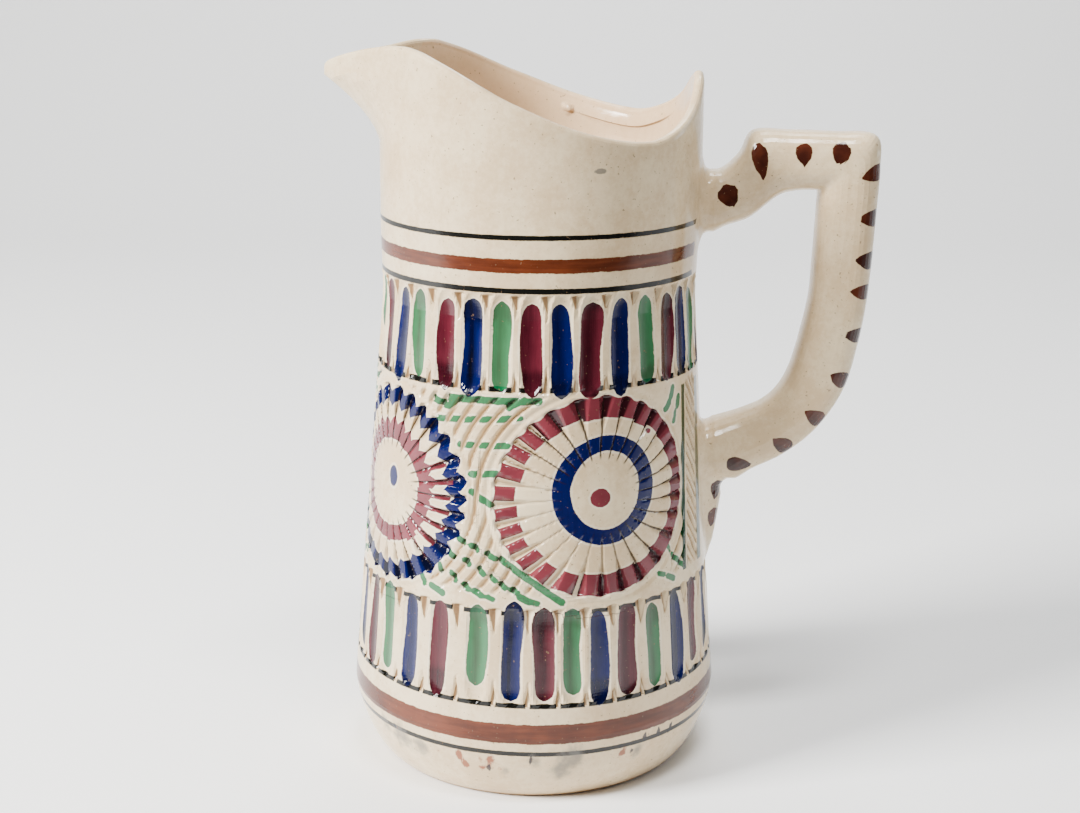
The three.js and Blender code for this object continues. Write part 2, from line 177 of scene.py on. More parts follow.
# Lip inside the far wall: how much thinner the top of the wall is, a fold of clay from one bearing
# to the other, and a lump, as bearing, depth below the rim and size
LIP_THINNED = 1.5
LIP_THIN_DEPTH = 5
FOLD_FROM, FOLD_TO = 112.0, 170.0
FOLD_EASE = (14, 20)
FOLD_DROP = 4.4
FOLD_PROUD = 1.1
LUMP = (168.7, 3.8, 2.4)
LUMP_PROUD = 1.6

# Slow unevenness of the wall: size, waves round it, height of a radian and start
WOBBLES = ((0.10, 3, 41, 0.0), (0.07, 7, -23, 1.3))
WOBBLE_START = (30, 45)

# Mesh
COLUMNS = FLUTE_COUNT * 14
# Rows of the wall: the height where a stretch starts, and its number of rows
WALL_ROWS = (
    (SHOULDER_HEIGHT, 5), (37.5, 13), (50, 6), (63, 13), (76, 73), (150, 10), (160, 5), (171, 12), (183, 7),
)
UNDERSIDE_RINGS = (20.0, 40.0, FOOT_RADIUS - 4.0)
INNER_FLOOR_RINGS = (38.0, 20.0)
FOOT_EDGE = 1.2
# Places of further rows, as shares of a height
FOOT_ROWS = (0.012, 0.035, 0.07, 0.12, 0.19, 0.28, 0.39, 0.52, 0.66, 0.82)
NECK_ROWS = (0.12, 0.24, 0.35, 0.45, 0.54, 0.62, 0.70, 0.77, 0.84, 0.90, 0.95, 1.0)
INNER_NECK_ROWS = (0.62, 0.5, 0.35, 0.18)
# Depths of rows below the lip
LIP_ROWS = (0.9, 1.8, 2.7, 3.5, 4.1, 4.7, 5.4, 6.8, 9.0)
HANDLE_ROWS = 130
HANDLE_SIDES = 36
LIP_SIDES = 8
CORNER_SIDES = 6
INNER_ROWS = 13
TAIL_ROWS = 26
TAIL_SIDES = 16
TAIL_LAST = 0.985
SEAM_ZONE = 40
SEAM_REACH = 5.0
SEAM_ROUNDS = 30
SAME_PLACE = 1e-6

rng = np.random.default_rng(SEED)


def mix(a, b, share):
    return a + (b - a) * share


def clamp01(x):
    return np.clip(x, 0.0, 1.0)


def ease(x):
    return clamp01(x) ** 2 * (3 - 2 * clamp01(x))


def step_between(low, high, x):
    return ease((x - low) / (high - low))


def through(knots, x):
    """Smooth line through knots (x, y)."""
    xs = np.array([k[0] for k in knots], float)
    ys = np.array([k[1] for k in knots], float)
    before = np.maximum(np.arange(len(xs)) - 1, 0)
    after = np.minimum(np.arange(len(xs)) + 1, len(xs) - 1)
    slopes = (ys[after] - ys[before]) / (xs[after] - xs[before])
    i = np.clip(np.searchsorted(xs, x, side="right") - 1, 0, len(xs) - 2)
    width = xs[i + 1] - xs[i]
    t = clamp01((x - xs[i]) / width)
    rise = (slopes[i] * (1 - t) ** 2 * t + slopes[i + 1] * t ** 2 * (t - 1)) * width
    return ys[i] * (1 + 2 * t) * (1 - t) ** 2 + ys[i + 1] * t ** 2 * (3 - 2 * t) + rise


def wall_radius(z):
    z = np.asarray(z, float)
    drop = clamp01(1 - z / SHOULDER_HEIGHT)
    foot = mix(FOOT_RADIUS, SHOULDER_RADIUS, (1 - drop ** FOOT_EXPONENT) ** (1 / FOOT_EXPONENT))
    cone = mix(SHOULDER_RADIUS, WAIST_RADIUS, (z - SHOULDER_HEIGHT) / (WAIST_HEIGHT - SHOULDER_HEIGHT))
    neck = mix(WAIST_RADIUS, NECK_RADIUS, ease((z - WAIST_HEIGHT) / (NECK_HEIGHT - WAIST_HEIGHT)))
    radius = np.where(z < SHOULDER_HEIGHT, foot, np.where(z < WAIST_HEIGHT, cone, neck))
    return radius - FACET_INSET


def lip_offset(bearing, below):
    """How far the inside of the lip stands out from the even wall, at a depth below the rim."""
    turned = np.mod(bearing, 360)
    along = step_between(FOLD_FROM, FOLD_FROM + FOLD_EASE[0], turned)
    along = along * step_between(FOLD_TO, FOLD_TO - FOLD_EASE[1], turned)
    fold = FOLD_PROUD * along * step_between(FOLD_DROP + 0.4, FOLD_DROP - 0.3, below)
    across = np.radians(turned - LUMP[0]) * (NECK_RADIUS - WALL)
    lump = LUMP_PROUD * np.exp(-(np.hypot(across * 0.75, below - LUMP[1]) / LUMP[2] * 1.6) ** 4)
    return np.maximum(fold, lump) - LIP_THINNED * np.exp(-np.maximum(below, 0) / LIP_THIN_DEPTH)


def from_spout(bearing):
    turned = np.mod(bearing + 90, 360)
    return np.minimum(turned, 360 - turned)


RIM_LINE = (
    (0, SPOUT_TIP_HEIGHT),
    (9, mix(SPOUT_TIP_HEIGHT, JUG_HEIGHT, 0.5)),
    (20, mix(SPOUT_TIP_HEIGHT, JUG_HEIGHT, 0.86)),
    (36, JUG_HEIGHT),
    (56, mix(JUG_HEIGHT, RIM_LOW, 0.18)),
    (80, mix(JUG_HEIGHT, RIM_LOW, 0.54)),
    (105, mix(JUG_HEIGHT, RIM_LOW, 0.86)),
    (130, RIM_LOW),
    (146, mix(RIM_LOW, RIM_PEAK, 0.17)),
    (160, mix(RIM_LOW, RIM_PEAK, 0.5)),
    (172, mix(RIM_LOW, RIM_PEAK, 0.88)),
    (180, RIM_PEAK),
)


def rim_height(bearing):
    angle = from_spout(bearing)
    beside = np.sin(np.pi * clamp01(angle / SPOUT_SIDE_ANGLE))
    along = np.sin(np.pi * clamp01((angle - SPOUT_SIDE_ANGLE) / (180 - SPOUT_SIDE_ANGLE)))
    far = np.cos(np.radians(bearing)) < 0
    line = through(RIM_LINE, angle)
    height = np.where(far, line + RIM_TILT * along - SPOUT_LEAN * beside, line - RIM_TILT * along)
    return np.minimum(height, JUG_HEIGHT + RIM_SPARE)


def beak_radius(angle, around, reach, tip):
    """Plan of the beak: a circle and a small tip circle, joined by their tangents."""
    middle = reach - tip
    touch = np.arccos(clamp01((around - tip) / middle))
    a = np.radians(angle)
    tip_touch = np.arctan2(tip * np.sin(touch), middle + tip * np.cos(touch))
    flank = around / np.cos(np.clip(touch - a, 0, 1.5))
    nose = middle * np.cos(a) + np.sqrt(np.maximum(0, tip ** 2 - (middle * np.sin(a)) ** 2))
    return np.where(a >= touch, around, np.where(a > tip_touch, flank, nose))


def beak_share(z):
    t = clamp01(1 - (SPOUT_TIP_HEIGHT - SPOUT_WALL - z) / (SPOUT_RISE - SPOUT_WALL))
    return mix(t ** 2, t, SPOUT_STRAIGHTNESS)


def outer_radius(bearing, z):
    around = wall_radius(z)
    beak = beak_radius(from_spout(bearing), around, SPOUT_REACH, SPOUT_TIP_RADIUS)
    return mix(around, beak, beak_share(z))


def inner_radius(bearing, z):
    around = wall_radius(z) - WALL
    reach = SPOUT_REACH - SPOUT_WALL
    beak = beak_radius(from_spout(bearing), around, reach, SPOUT_TIP_RADIUS - SPOUT_WALL)
    return mix(around, beak, beak_share(z - SPOUT_WALL))


def drift(z):
    """How far the middle of the leaning body sits towards the handle."""
    return NECK_DRIFT * clamp01((z - SHOULDER_HEIGHT) / (NECK_HEIGHT - SHOULDER_HEIGHT)) ** 2


def polar(bearing, radius, z):
    a = np.radians(bearing)
    return np.stack([radius * np.sin(a) + drift(z), -radius * np.cos(a), z * np.ones_like(a)], axis=-1)


def sunk_reach(z):
    """Distance from the axis to a place sunk in the wall, on the side of the handle."""
    return wall_radius(z) - WALL * BURIED_SHARE + drift(z)


def turn_between(bearing, centre):
    """Signed angle from a centre bearing, in degrees."""
    return np.mod(bearing - centre + 180, 360) - 180


# Carving. Each cut gives its depth below the wall.

def to_nearest(bearing, centres):
    """Smallest angle from any of the centre bearings, in degrees."""
    places = np.sort(np.mod(centres, 360))
    places = np.concatenate([places[-1:] - 360, places, places[:1] + 360])
    turned = np.mod(bearing, 360)
    i = np.clip(np.searchsorted(places, turned), 1, len(places) - 1)
    return np.minimum(turned - places[i - 1], places[i] - turned)


def flute_centres(seen):
    """Bearings of all flutes: those seen in front, and the rest evenly round the back."""
    front = [mark[1] for mark in seen]
    rest = FLUTE_COUNT - len(front)
    pitch = (front[0] + 360 - front[-1]) / (rest + 1)
    return np.array(front + [front[-1] + pitch * (i + 1) for i in range(rest)])


def notch_centres(seen):
    centres = flute_centres(seen)
    return (centres + np.append(centres[1:], centres[0] + 360)) / 2


def mark_distance(bearing, z, centres):
    """Distance along the wall from the nearest of its band's flutes or notches."""
    upper, lower = (to_nearest(bearing, centres(seen)) for seen in (UPPER_SEEN, LOWER_SEEN))
    return np.radians(np.where(z > ROSETTES[0][1], upper, lower)) * wall_radius(z)


def notch_side(bearing, z):
    """Sideways place from a notch's middle line, -1 to 1, where 1 is the reach and all beyond it."""
    off = mark_distance(bearing, z, notch_centres)
    step, reach = 0.05, 1.5
    grows = mark_distance(bearing + step, z, notch_centres) > off
    return np.clip(np.where(grows, off, -off), -reach, reach) / reach


def flute_cuts(bearing, z):
    """Depth of the flutes and of the notches between them."""
    across = mark_distance(bearing, z, flute_centres)
    between = mark_distance(bearing, z, notch_centres)
    depth = np.zeros_like(z)
    for low, high in (UPPER_BAND, LOWER_BAND):
        inside = np.minimum(z - low + 1, high + 1 - z)
        along = np.sqrt(clamp01(1 - clamp01(1 - inside / (FLUTE_WIDTH * FLUTE_END_RATIO)) ** 2))
        half = FLUTE_WIDTH / 2 * np.maximum(along, 0.01)
        scoop = clamp01(1 - (across / half) ** 2) ** 0.65
        depth = np.maximum(depth, np.where(inside > 0, FLUTE_DEPTH * scoop * along, 0))
        for start, way, width in ((high, -1, NOTCH_WIDTH), (low, 1, NOTCH_WIDTH * LOW_NOTCH_RATIO)):
            run = (z - start) * way
            share = 1 - run / NOTCH_LENGTH
            wide = width / 2 * np.clip(share, 0.01, 1)
            chip = clamp01(1 - between / wide) * clamp01(share) ** 0.7 * NOTCH_DEPTH * NOTCH_CLIP
            chip = np.minimum(chip, NOTCH_DEPTH) * step_between(-0.7, 0.1, run)
            depth = np.maximum(depth, np.where(share > 0, chip, 0))
    return depth


def rosette_place(bearing, z, rosette):
    """Sideways and upward share of the half sizes from a rosette's middle."""
    centre, height, half_width, half_height, _ = rosette
    radius = wall_radius(ROSETTES[0][1])
    u = np.radians(turn_between(bearing, centre)) * radius / half_width
    v = (z - height) / half_height
    return u, v


def gouge_wave(u, v):
    """Share of the radius, and turns across the gouges, which lean a little from their rays."""
    share = np.hypot(u, v)
    clock = np.arctan2(u, v)
    lean = LEAN_SLOW[0] * np.sin(clock * 2 + LEAN_SLOW[1]) + LEAN_FAST[0] * np.sin(clock * 5 + LEAN_FAST[1])
    turned = clock - lean * (share - GOUGE_START)
    return share, turned * ROSETTE_GOUGES / (2 * np.pi)


def rosette_cuts(bearing, z):
    depth = np.zeros_like(z)
    for rosette in ROSETTES:
        u, v = rosette_place(bearing, z, rosette)
        share, turns = gouge_wave(u, v)
        pitch = 2 * np.pi * share * rosette[3] / ROSETTE_GOUGES
        t = np.mod(turns + 0.5, 1) - 0.5
        out = clamp01((share - GOUGE_OPEN) / (1 - GOUGE_OPEN))
        half = mix(GOUGE_LINE, GOUGE_WIDTH / 2, out)
        skew = t * pitch / half + GOUGE_SKEW
        steep = np.minimum(1 - skew / (1 + GOUGE_SKEW), 1 + skew / (1 - GOUGE_SKEW))
        end = step_between(GOUGE_END, 1.0, share)
        deep = mix(THIN_GOUGE, 1, out) * step_between(GOUGE_START, GOUGE_START + GOUGE_EASE, share)
        depth = np.maximum(depth, GOUGE_DEPTH * clamp01(steep) * deep * end)
        moat = 1 - np.abs((share - MOAT_START) * rosette[3] - MOAT_WIDTH / 2) / (MOAT_WIDTH / 2)
        depth = np.maximum(depth, MOAT_DEPTH * ease(moat))
    return depth


def rim_distance(bearing, z, rosette):
    u, v = rosette_place(bearing, z, rosette)
    return (np.hypot(u, v) - 1) * rosette[3]


def groove_phase(bearing, z):
    """Turns across the curved grooves and the columns' cuts, and how far a point is clear of their
    edges, 0 to 1. The S-curves go round one rosette above and round its neighbour below."""
    phase, clearance = np.zeros_like(z), np.zeros_like(z)
    low, high = GROOVE_ZONE
    ends = step_between(low - 1, low + 2, z) * step_between(high + 1, high - 2, z)
    for first, second in zip(ROSETTES[:-1], ROSETTES[1:]):
        right = rim_distance(bearing, z, first)
        left = rim_distance(bearing, z, second)
        middle = (first[0] + second[0]) / 2
        inside = np.abs(turn_between(bearing, middle)) < GAP_REACH
        this = mix(GAP_WIDTH - left, right, step_between(*GROOVE_TURN, z)) / GROOVE_PITCH
        clear = step_between(*CLEAR_OF_ROSETTE, right) * step_between(*CLEAR_OF_ROSETTE, left) * ends
        phase = np.where(inside, this, phase)
        clearance = np.where(inside, clear, clearance)
    x = column_offset(bearing, z)
    for rosette in (ROSETTES[0], ROSETTES[-1]):
        off = rim_distance(bearing, z, rosette)
        inside = (x > SIDE_ZONE[0]) & (x < SIDE_ZONE[1]) & (off < SIDE_REACH)
        clear = step_between(*CLEAR_OF_ROSETTE, off) * ends * step_between(*SIDE_TOP, z)
        phase = np.where(inside, off / GROOVE_PITCH, phase)
        clearance = np.where(inside, clear, clearance)
    inside = np.abs(x) < COLUMN_WIDTH / 2
    clear = step_between(COLUMN_WIDTH / 2, COLUMN_WIDTH / 2 - 0.9, np.abs(x)) * ends
    phase = np.where(inside, (z + x * COLUMN_SLANT) / COLUMN_PITCH, phase)
    return phase, np.where(inside, clear, clearance)


def groove_cuts(bearing, z):
    phase, clear = groove_phase(bearing, z)
    t = np.mod(phase, 1)
    saw = np.where(t < GROOVE_RISE, t / GROOVE_RISE, (1 - t) / (1 - GROOVE_RISE))
    return GROOVE_DEPTH * step_between(0.45, 0.95, saw) * clear


def column_share(z):
    return clamp01((z - COLUMN_ZONE[0]) / (COLUMN_ZONE[1] - COLUMN_ZONE[0]))


def column_offset(bearing, z):
    """Signed distance along the wall from the middle of the nearest column, towards the handle."""
    centre = mix(COLUMN_FOOT, COLUMN_HEAD, column_share(z))
    from_handle = np.abs(turn_between(bearing, 90))
    return np.radians(90 - centre - from_handle) * wall_radius(z)


def hand_wobble(bearing, z):
    """Slow unevenness of a hand-finished wall. It only takes clay away."""
    a = np.radians(bearing)
    wave = sum(size * (np.sin(count * a + z / rise + start) - 1) for size, count, rise, start in WOBBLES)
    return wave * step_between(*WOBBLE_START, z)


def carved(bearing, z):
    return np.maximum.reduce([cuts(bearing, z) for cuts in (flute_cuts, rosette_cuts, groove_cuts)])


# Meshes

def row_faces(start_a, count_a, start_b, count_b):
    """Quads between two rings of points, or triangles where one ring has half the points or one."""
    if count_a < count_b:
        return [face[::-1] for face in row_faces(start_b, count_b, start_a, count_a)]
    if count_b == 1:
        return [(start_a + i, start_a + (i + 1) % count_a, start_b) for i in range(count_a)]
    faces = []
    for i in range(count_b):
        b0, b1 = start_b + i, start_b + (i + 1) % count_b
        if count_a == count_b:
            faces.append((start_a + i, start_a + (i + 1) % count_a, b1, b0))
        else:
            a0, a1, a2 = (start_a + (2 * i + step) % count_a for step in range(3))
            faces += [(a0, a1, b0), (a1, b1, b0), (a1, a2, b1)]
    return faces


def mesh_object(name, rows, capped=False):
    points = np.concatenate([np.atleast_2d(row) for row in rows])
    starts = np.cumsum([0] + [len(np.atleast_2d(row)) for row in rows])
    counts = np.diff(starts)
    faces = []
    for j in range(len(rows) - 1):
        faces += row_faces(int(starts[j]), int(counts[j]), int(starts[j + 1]), int(counts[j + 1]))
    if capped:
        faces.append(tuple(range(int(counts[0])))[::-1])
        faces.append(tuple(range(int(starts[-2]), int(starts[-1]))))
    mesh = bpy.data.meshes.new(name)
    mesh.from_pydata((points * MM).tolist(), [], faces)
    mesh.update()
    obj = bpy.data.objects.new(name, mesh)
    bpy.context.scene.collection.objects.link(obj)
    return obj


def body_rows():
    full = FLUTE_ANGLE + 360 * np.arange(COLUMNS) / COLUMNS
    half = full[::2]
    rows = [polar(np.array([0.0]), 0.0, 0.0)]
    for radius in UNDERSIDE_RINGS:
        rows.append(polar(half, radius, 0.0))
    rows.append(polar(full, FOOT_RADIUS - FOOT_EDGE, 0.0))
    for share in FOOT_ROWS:
        z = SHOULDER_HEIGHT * share
        rows.append(polar(full, wall_radius(z), z))
    ends = [start for start, _ in WALL_ROWS[1:]] + [NECK_HEIGHT]
    heights = [np.linspace(low, high, count, endpoint=False) for (low, count), high in zip(WALL_ROWS, ends)]
    heights = np.concatenate([*heights, [NECK_HEIGHT]])
    for z in heights:
        zs = np.full_like(full, z)
        depth = carved(full, zs) - hand_wobble(full, zs)
        rows.append(polar(full, wall_radius(zs) - depth, zs))

    def upper(share):
        z = mix(NECK_HEIGHT, rim_height(full) - LIP_ROUND, share)
        wobble = hand_wobble(full, z)
        return z, outer_radius(full, z) + wobble, inner_radius(full, z)

    for share in NECK_ROWS:
        z, outer, _ = upper(share)
        rows.append(polar(full, outer, z))
    z, outer, inner = upper(1.0)
    inner = inner - lip_offset(full, 0 * z)
    for i in range(1, LIP_SIDES):
        a = np.pi * i / LIP_SIDES
        across = 0.5 - 0.5 * np.cos(a)
        rows.append(polar(full, mix(outer, inner, across), z + LIP_ROUND * np.sin(a) ** 0.8))
    rows.append(polar(full, inner, z))
    for below in LIP_ROWS:
        z = rim_height(full) - LIP_ROUND - below
        rows.append(polar(full, inner_radius(full, z) - lip_offset(full, below), z))
    for share in INNER_NECK_ROWS:
        z, _, inner = upper(share)
        rows.append(polar(full[::2], inner[::2], z[::2]))
    side = wall_radius(SHOULDER_HEIGHT) - WALL
    for z in np.linspace(NECK_HEIGHT, FLOOR + INNER_CORNER, INNER_ROWS):
        rows.append(polar(half, np.minimum(wall_radius(max(z, SHOULDER_HEIGHT)) - WALL, side), z))
    for i in range(1, CORNER_SIDES + 1):
        a = np.pi / 2 * i / CORNER_SIDES
        radius = side - INNER_CORNER * (1 - np.cos(a))
        rows.append(polar(half, radius, FLOOR + INNER_CORNER * (1 - np.sin(a))))
    for radius in INNER_FLOOR_RINGS:
        rows.append(polar(half, radius, FLOOR))
    rows.append(polar(np.array([0.0]), 0.0, FLOOR))
    return rows


# Sections along the handle: outer and inner point, each as a share of the reach and of the height.
HANDLE_SECTIONS = (
    ((0.035, 0.899), (0.054, 0.707)),
    ((0.125, 0.892), (0.155, 0.732)),
    ((0.225, 0.937), (0.286, 0.755)),
    ((0.295, 0.999), (0.435, 0.813)),
    ((0.5, 1.0), (0.52, 0.828)),
    ((0.748, 0.996), (0.61, 0.831)),
    ((0.971, 0.987), (0.652, 0.825)),
    ((0.998, 0.9), (0.652, 0.775)),
    ((0.989, 0.775), (0.648, 0.71)),
    ((0.977, 0.639), (0.64, 0.619)),
    ((0.957, 0.51), (0.629, 0.53)),
    ((0.922, 0.4), (0.589, 0.426)),
    ((0.871, 0.292), (0.54, 0.333)),
    ((0.788, 0.208), (0.478, 0.271)),
    ((0.666, 0.132), (0.394, 0.231)),
    ((0.509, 0.072), (0.286, 0.207)),
    ((0.357, 0.035), (0.178, 0.189)),
    ((0.228, 0.0), (0.071, 0.175)),
)


def handle_rows():
    def buried(point):
        return (sunk_reach(point[1]), point[1])

    pairs = [[(NECK_RADIUS + HANDLE_REACH * x, mix(HANDLE_LOW, HANDLE_TOP, z)) for x, z in pair]
             for pair in HANDLE_SECTIONS]
    pairs.insert(0, [buried(p) for p in pairs[0]])
    pairs.append([buried(p) for p in pairs[-1]])
    pairs = np.array(pairs, float)
    last = len(pairs) - 1
    knots = np.arange(last + 1)
    rows = []
    for t in np.linspace(0, last, HANDLE_ROWS):
        outer, inner = (np.array([through(list(zip(knots, pairs[:, side, axis])), t) for axis in (0, 1)])
                        for side in (0, 1))
        near_end = min(t, last - t)
        spread = mix(ROOT_SPREAD, 1, float(ease(near_end / 3)))
        middle = (outer + inner) / 2
        across = (outer - inner) / 2 * HANDLE_FIT
        a = 2 * np.pi * (np.arange(HANDLE_SIDES) + 0.5) / HANDLE_SIDES
        power = 2 / HANDLE_EXPONENT
        c = np.sign(np.cos(a)) * np.abs(np.cos(a)) ** power
        s = np.sign(np.sin(a)) * np.abs(np.sin(a)) ** power
        rows.append(np.stack([
            middle[0] + across[0] * c,
            HANDLE_DEPTH / 2 * spread * s,
            middle[1] + across[1] * c,
        ], axis=-1))
    return rows


def tail_rows():
    top = mix(HANDLE_LOW, HANDLE_TOP, TAIL_START_SHARE)
    rows = []
    for share in np.linspace(0, TAIL_LAST, TAIL_ROWS):
        z = mix(top, TAIL_END, share)
        sunk = sunk_reach(z)
        out = WALL * BURIED_SHARE + TAIL_PROUD * (1 - share) ** TAIL_EXPONENT
        half = TAIL_WIDTH / 2 * np.sqrt(1 - share ** 2)
        a = np.pi * np.arange(TAIL_SIDES + 1) / TAIL_SIDES
        rows.append(np.stack([sunk + out * np.sin(a), half * np.cos(a), np.full_like(a, z)], axis=-1))
    return rows


def joined(base, others):
    """One closed mesh of several solids."""
    for other in others:
        modifier = base.modifiers.new("join", "BOOLEAN")
        modifier.operation = "UNION"
        modifier.solver = "MANIFOLD"
        modifier.object = other
    deps = bpy.context.evaluated_depsgraph_get()
    mesh = bpy.data.meshes.new_from_object(base.evaluated_get(deps))
    base.modifiers.clear()
    base.data = mesh
    for other in others:
        bpy.data.objects.remove(other)
    return base


def make_consistent(obj):
    """Turn a closed mesh so that its faces point out."""
    edit = bmesh.new()
    edit.from_mesh(obj.data)
    bmesh.ops.recalc_face_normals(edit, faces=edit.faces)
    edit.to_mesh(obj.data)
    edit.free()
    return obj


def coordinates(mesh):
    flat = np.empty(len(mesh.vertices) * 3)
    mesh.vertices.foreach_get("co", flat)
    return flat.reshape(-1, 3)


def tree_of(points):
    tree = KDTree(len(points))
    for i, point in enumerate(points):
        tree.insert(point, i)
    tree.balance()
    return tree


def soften_seams(obj, known):
    """Smooth the mesh near the points that joining made, so that the clay flows over the seams."""
    mesh = obj.data
    points = coordinates(mesh)
    old = tree_of(known)
    seam = tree_of([p for p in points if old.find(p)[2] > SAME_PLACE])
    near = np.zeros(len(points))
    close = np.hypot(points[:, 0] - NECK_RADIUS * MM, points[:, 1]) < SEAM_ZONE * MM
    for i in np.flatnonzero(close):
        near[i] = 1 - min(1.0, seam.find(points[i])[2] / (SEAM_REACH * MM))
    edges = np.array([edge.vertices for edge in mesh.edges])
    edges = edges[(near[edges[:, 0]] > 0) | (near[edges[:, 1]] > 0)]
    weight = (near ** 0.5)[:, None] * 0.5
    for _ in range(SEAM_ROUNDS):
        total = np.zeros_like(points)
        count = np.zeros((len(points), 1))
        for a, b in ((0, 1), (1, 0)):
            np.add.at(total, edges[:, a], points[edges[:, b]])
            np.add.at(count, edges[:, a], 1)
        mean = np.where(count > 0, total / np.maximum(count, 1), points)
        points = points + (mean - points) * weight
    mesh.vertices.foreach_set("co", points.ravel())
    mesh.update()


body = make_consistent(mesh_object("jug_body", body_rows()))
handle = make_consistent(mesh_object("handle", handle_rows(), capped=True))
tail = make_consistent(mesh_object("tail", tail_rows(), capped=True))
known_points = np.concatenate([coordinates(o.data) for o in (body, handle, tail)])
joined(handle, [tail])
jug = joined(body, [handle])
soften_seams(jug, known_points)

# Painting. Each colour is a field on the mesh: how far a point lies outside the paint, in mm.

STROKE_COLOURS = {"G": "green", "M": "maroon", "B": "blue"}
# Colours of the flutes that the front doesn't show, in their order round the back
HIDDEN_ORDER = "MBGMBGBMGBMGMBGBMBG"
# Lines round the wall: height, half width, and for dashed ones the distance kept from the notches
BLACK_LINES = ((201.0, 0.85), (183.0, 0.95), (21.3, 0.95))
DASHED_LINES = ((149.3, 0.95, 1.2), (72.0, 0.85, 2.1), (39.2, 0.85, 0.7))
BROWN_BANDS = ((191.5, 2.4), (29.0, 3.6))
# The lines stop this many degrees from the handle, some sooner than others.
HANDLE_GAP = 19.5
LINE_STAGGER = 1.4
# Spots and rings in a rosette: place sideways and up from its middle, and half sizes, in millimetres
ROSETTE_SIZE = 35.6
DISC_DOT = (-0.3, -0.3, 3.6, 3.4)
STRAY_DOT = (19.2, 21.3, 1.0, 1.0)
RING_INNER = (1.9, 2.3, 12.5, 14.2)
RING_OUTER = (1.9, 2.3, 18.8, 19.8)
BLUE_DOT = (2.2, 2.8, 2.6, 3.9)
# Edges of the paint on the rosettes' rims, as shares of the radius
RIM_INNER, RIM_OUTER = 0.80, 1.015
RIM_SCALLOP = 0.012
RIM_STAGGER = 0.018
RIM_NARROWING = 0.05
TOOTH_INNER, TOOTH_OUTER = 0.455, 0.62
TOOTH_LENGTH = 0.085
LONG_GOUGE = (0.57, 0.86)
RIBBON_MIDDLE, RIBBON_HALF = 0.915, 0.082
PATCH_MIDDLE, PATCH_HALF = 0.92, 0.09
ROSETTE_EDGE = (1.12, 1.08)
# Half widths in millimetres: a petal, a painted long gouge, and a hairline where it is dark and gone
PETAL_HALF = 2.9
LONG_GOUGE_HALF = 1.15
HAIRLINE_HALF = (0.20, 0.46)

# Green strokes in the gap between a red and a blue rosette: bearing and height of both ends, measured
# from the gap's middle, and half width. The brush only touched the ridges in the second list.
GREEN_STROKES = (
    (-18.7, 144.2, -14.0, 142.6, 1.1), (-12.5, 145.4, 18.5, 146.0, 1.15),
    (-13.0, 142.4, -9.6, 145.2, 1.0), (8.5, 143.6, 13.5, 146.6, 1.0), (-7.3, 97.2, -5.2, 95.6, 0.9),
    (-10.4, 91.8, -8.8, 90.0, 0.9), (-13.6, 86.6, -13.2, 84.0, 0.8), (-20.6, 81.6, -19.4, 78.4, 0.9),
    (-2.6, 95.0, -0.6, 93.8, 1.0), (-4.8, 89.6, -3.2, 88.4, 1.0), (-9.2, 84.4, -7.6, 82.0, 0.9),
    (-16.6, 78.4, -12.2, 76.6, 1.1), (2.6, 92.6, 5.4, 91.2, 1.0), (0.2, 87.0, 1.8, 85.4, 1.0),
    (-4.8, 80.8, -3.2, 79.6, 1.0), (-1.2, 79.2, 1.2, 77.8, 1.0), (4.2, 84.6, 5.6, 83.4, 0.9),
    (7.4, 82.2, 8.8, 81.2, 0.9), (10.6, 80.6, 12.6, 79.6, 0.9), (3.2, 77.6, 5.0, 76.8, 0.8),
    (7.4, 91.0, 26.5, 76.0, 1.1), (13.4, 78.0, 16.4, 76.4, 1.1), (16.6, 76.6, 18.8, 75.8, 0.9),
)
RIDGE_STROKES = (
    (-16.8, 137.6, 12.5, 140.2, 1.0), (-8.1, 129.7, 8.5, 130.6, 1.0), (-3.7, 119.8, 5.0, 120.8, 1.1),
    (-3.2, 113.7, 3.4, 109.9, 1.1),
)
# The paint reaches this far into a groove, in mm of depth, and fades by the second number.
RIDGE_DEPTH, RIDGE_EDGE = 0.28, 2.2
GREEN_SPREAD = 0.2
# Green touches between the red rosette and its column, as bearing and height of both ends.
SIDE_TOUCHES = (
    (53.4, 145.3, 52.4, 142.6, 1.3), (51.2, 140.7, 49.4, 138.4, 1.3), (56.8, 141.2, 56.0, 138.4, 1.4),
    (54.4, 136.4, 53.8, 133.0, 0.9),
    (47.7, 90.2, 49.4, 87.6, 0.9), (50.4, 85.6, 53.4, 82.8, 1.1), (54.6, 81.6, 57.4, 79.6, 1.1),
    (43.6, 80.6, 46.0, 79.6, 1.0), (47.6, 78.6, 51.0, 76.8, 1.1),
)
# Brown touches on both sides of the handle: place in its plane, length, width and the way they point.
HANDLE_TOUCHES = (
    (67.9, 208.4, 8.6, 7.2, -62), (78.6, 220.6, 12.8, 5.4, -80), (93.7, 223.0, 8.6, 5.6, -86),
    (106.7, 222.9, 9.0, 6.2, -96), (118.8, 216.4, 9.5, 5.6, 196), (118.6, 200.6, 9.5, 5.8, 180),
    (117.8, 185.5, 9.0, 6.0, 172), (116.4, 174.1, 9.0, 5.2, 176), (114.9, 158.2, 9.0, 5.2, 172),
    (110.0, 142.2, 8.6, 5.8, 156), (101.6, 128.0, 8.6, 5.8, 148), (90.0, 117.6, 8.6, 5.8, 150),
    (74.5, 110.4, 10.2, 5.2, 352), (66.9, 99.6, 7.9, 4.6, -96), (66.0, 88.4, 8.0, 4.2, -96),
)
TOUCHES_PART = 116
TOUCH_GAP = 3.5
TOUCH_TAPER = 0.45
# Points off the wall belong to the handle when they lie this far towards it.
HANDLE_SIDE = 40
UNDERSIDE = 1.2
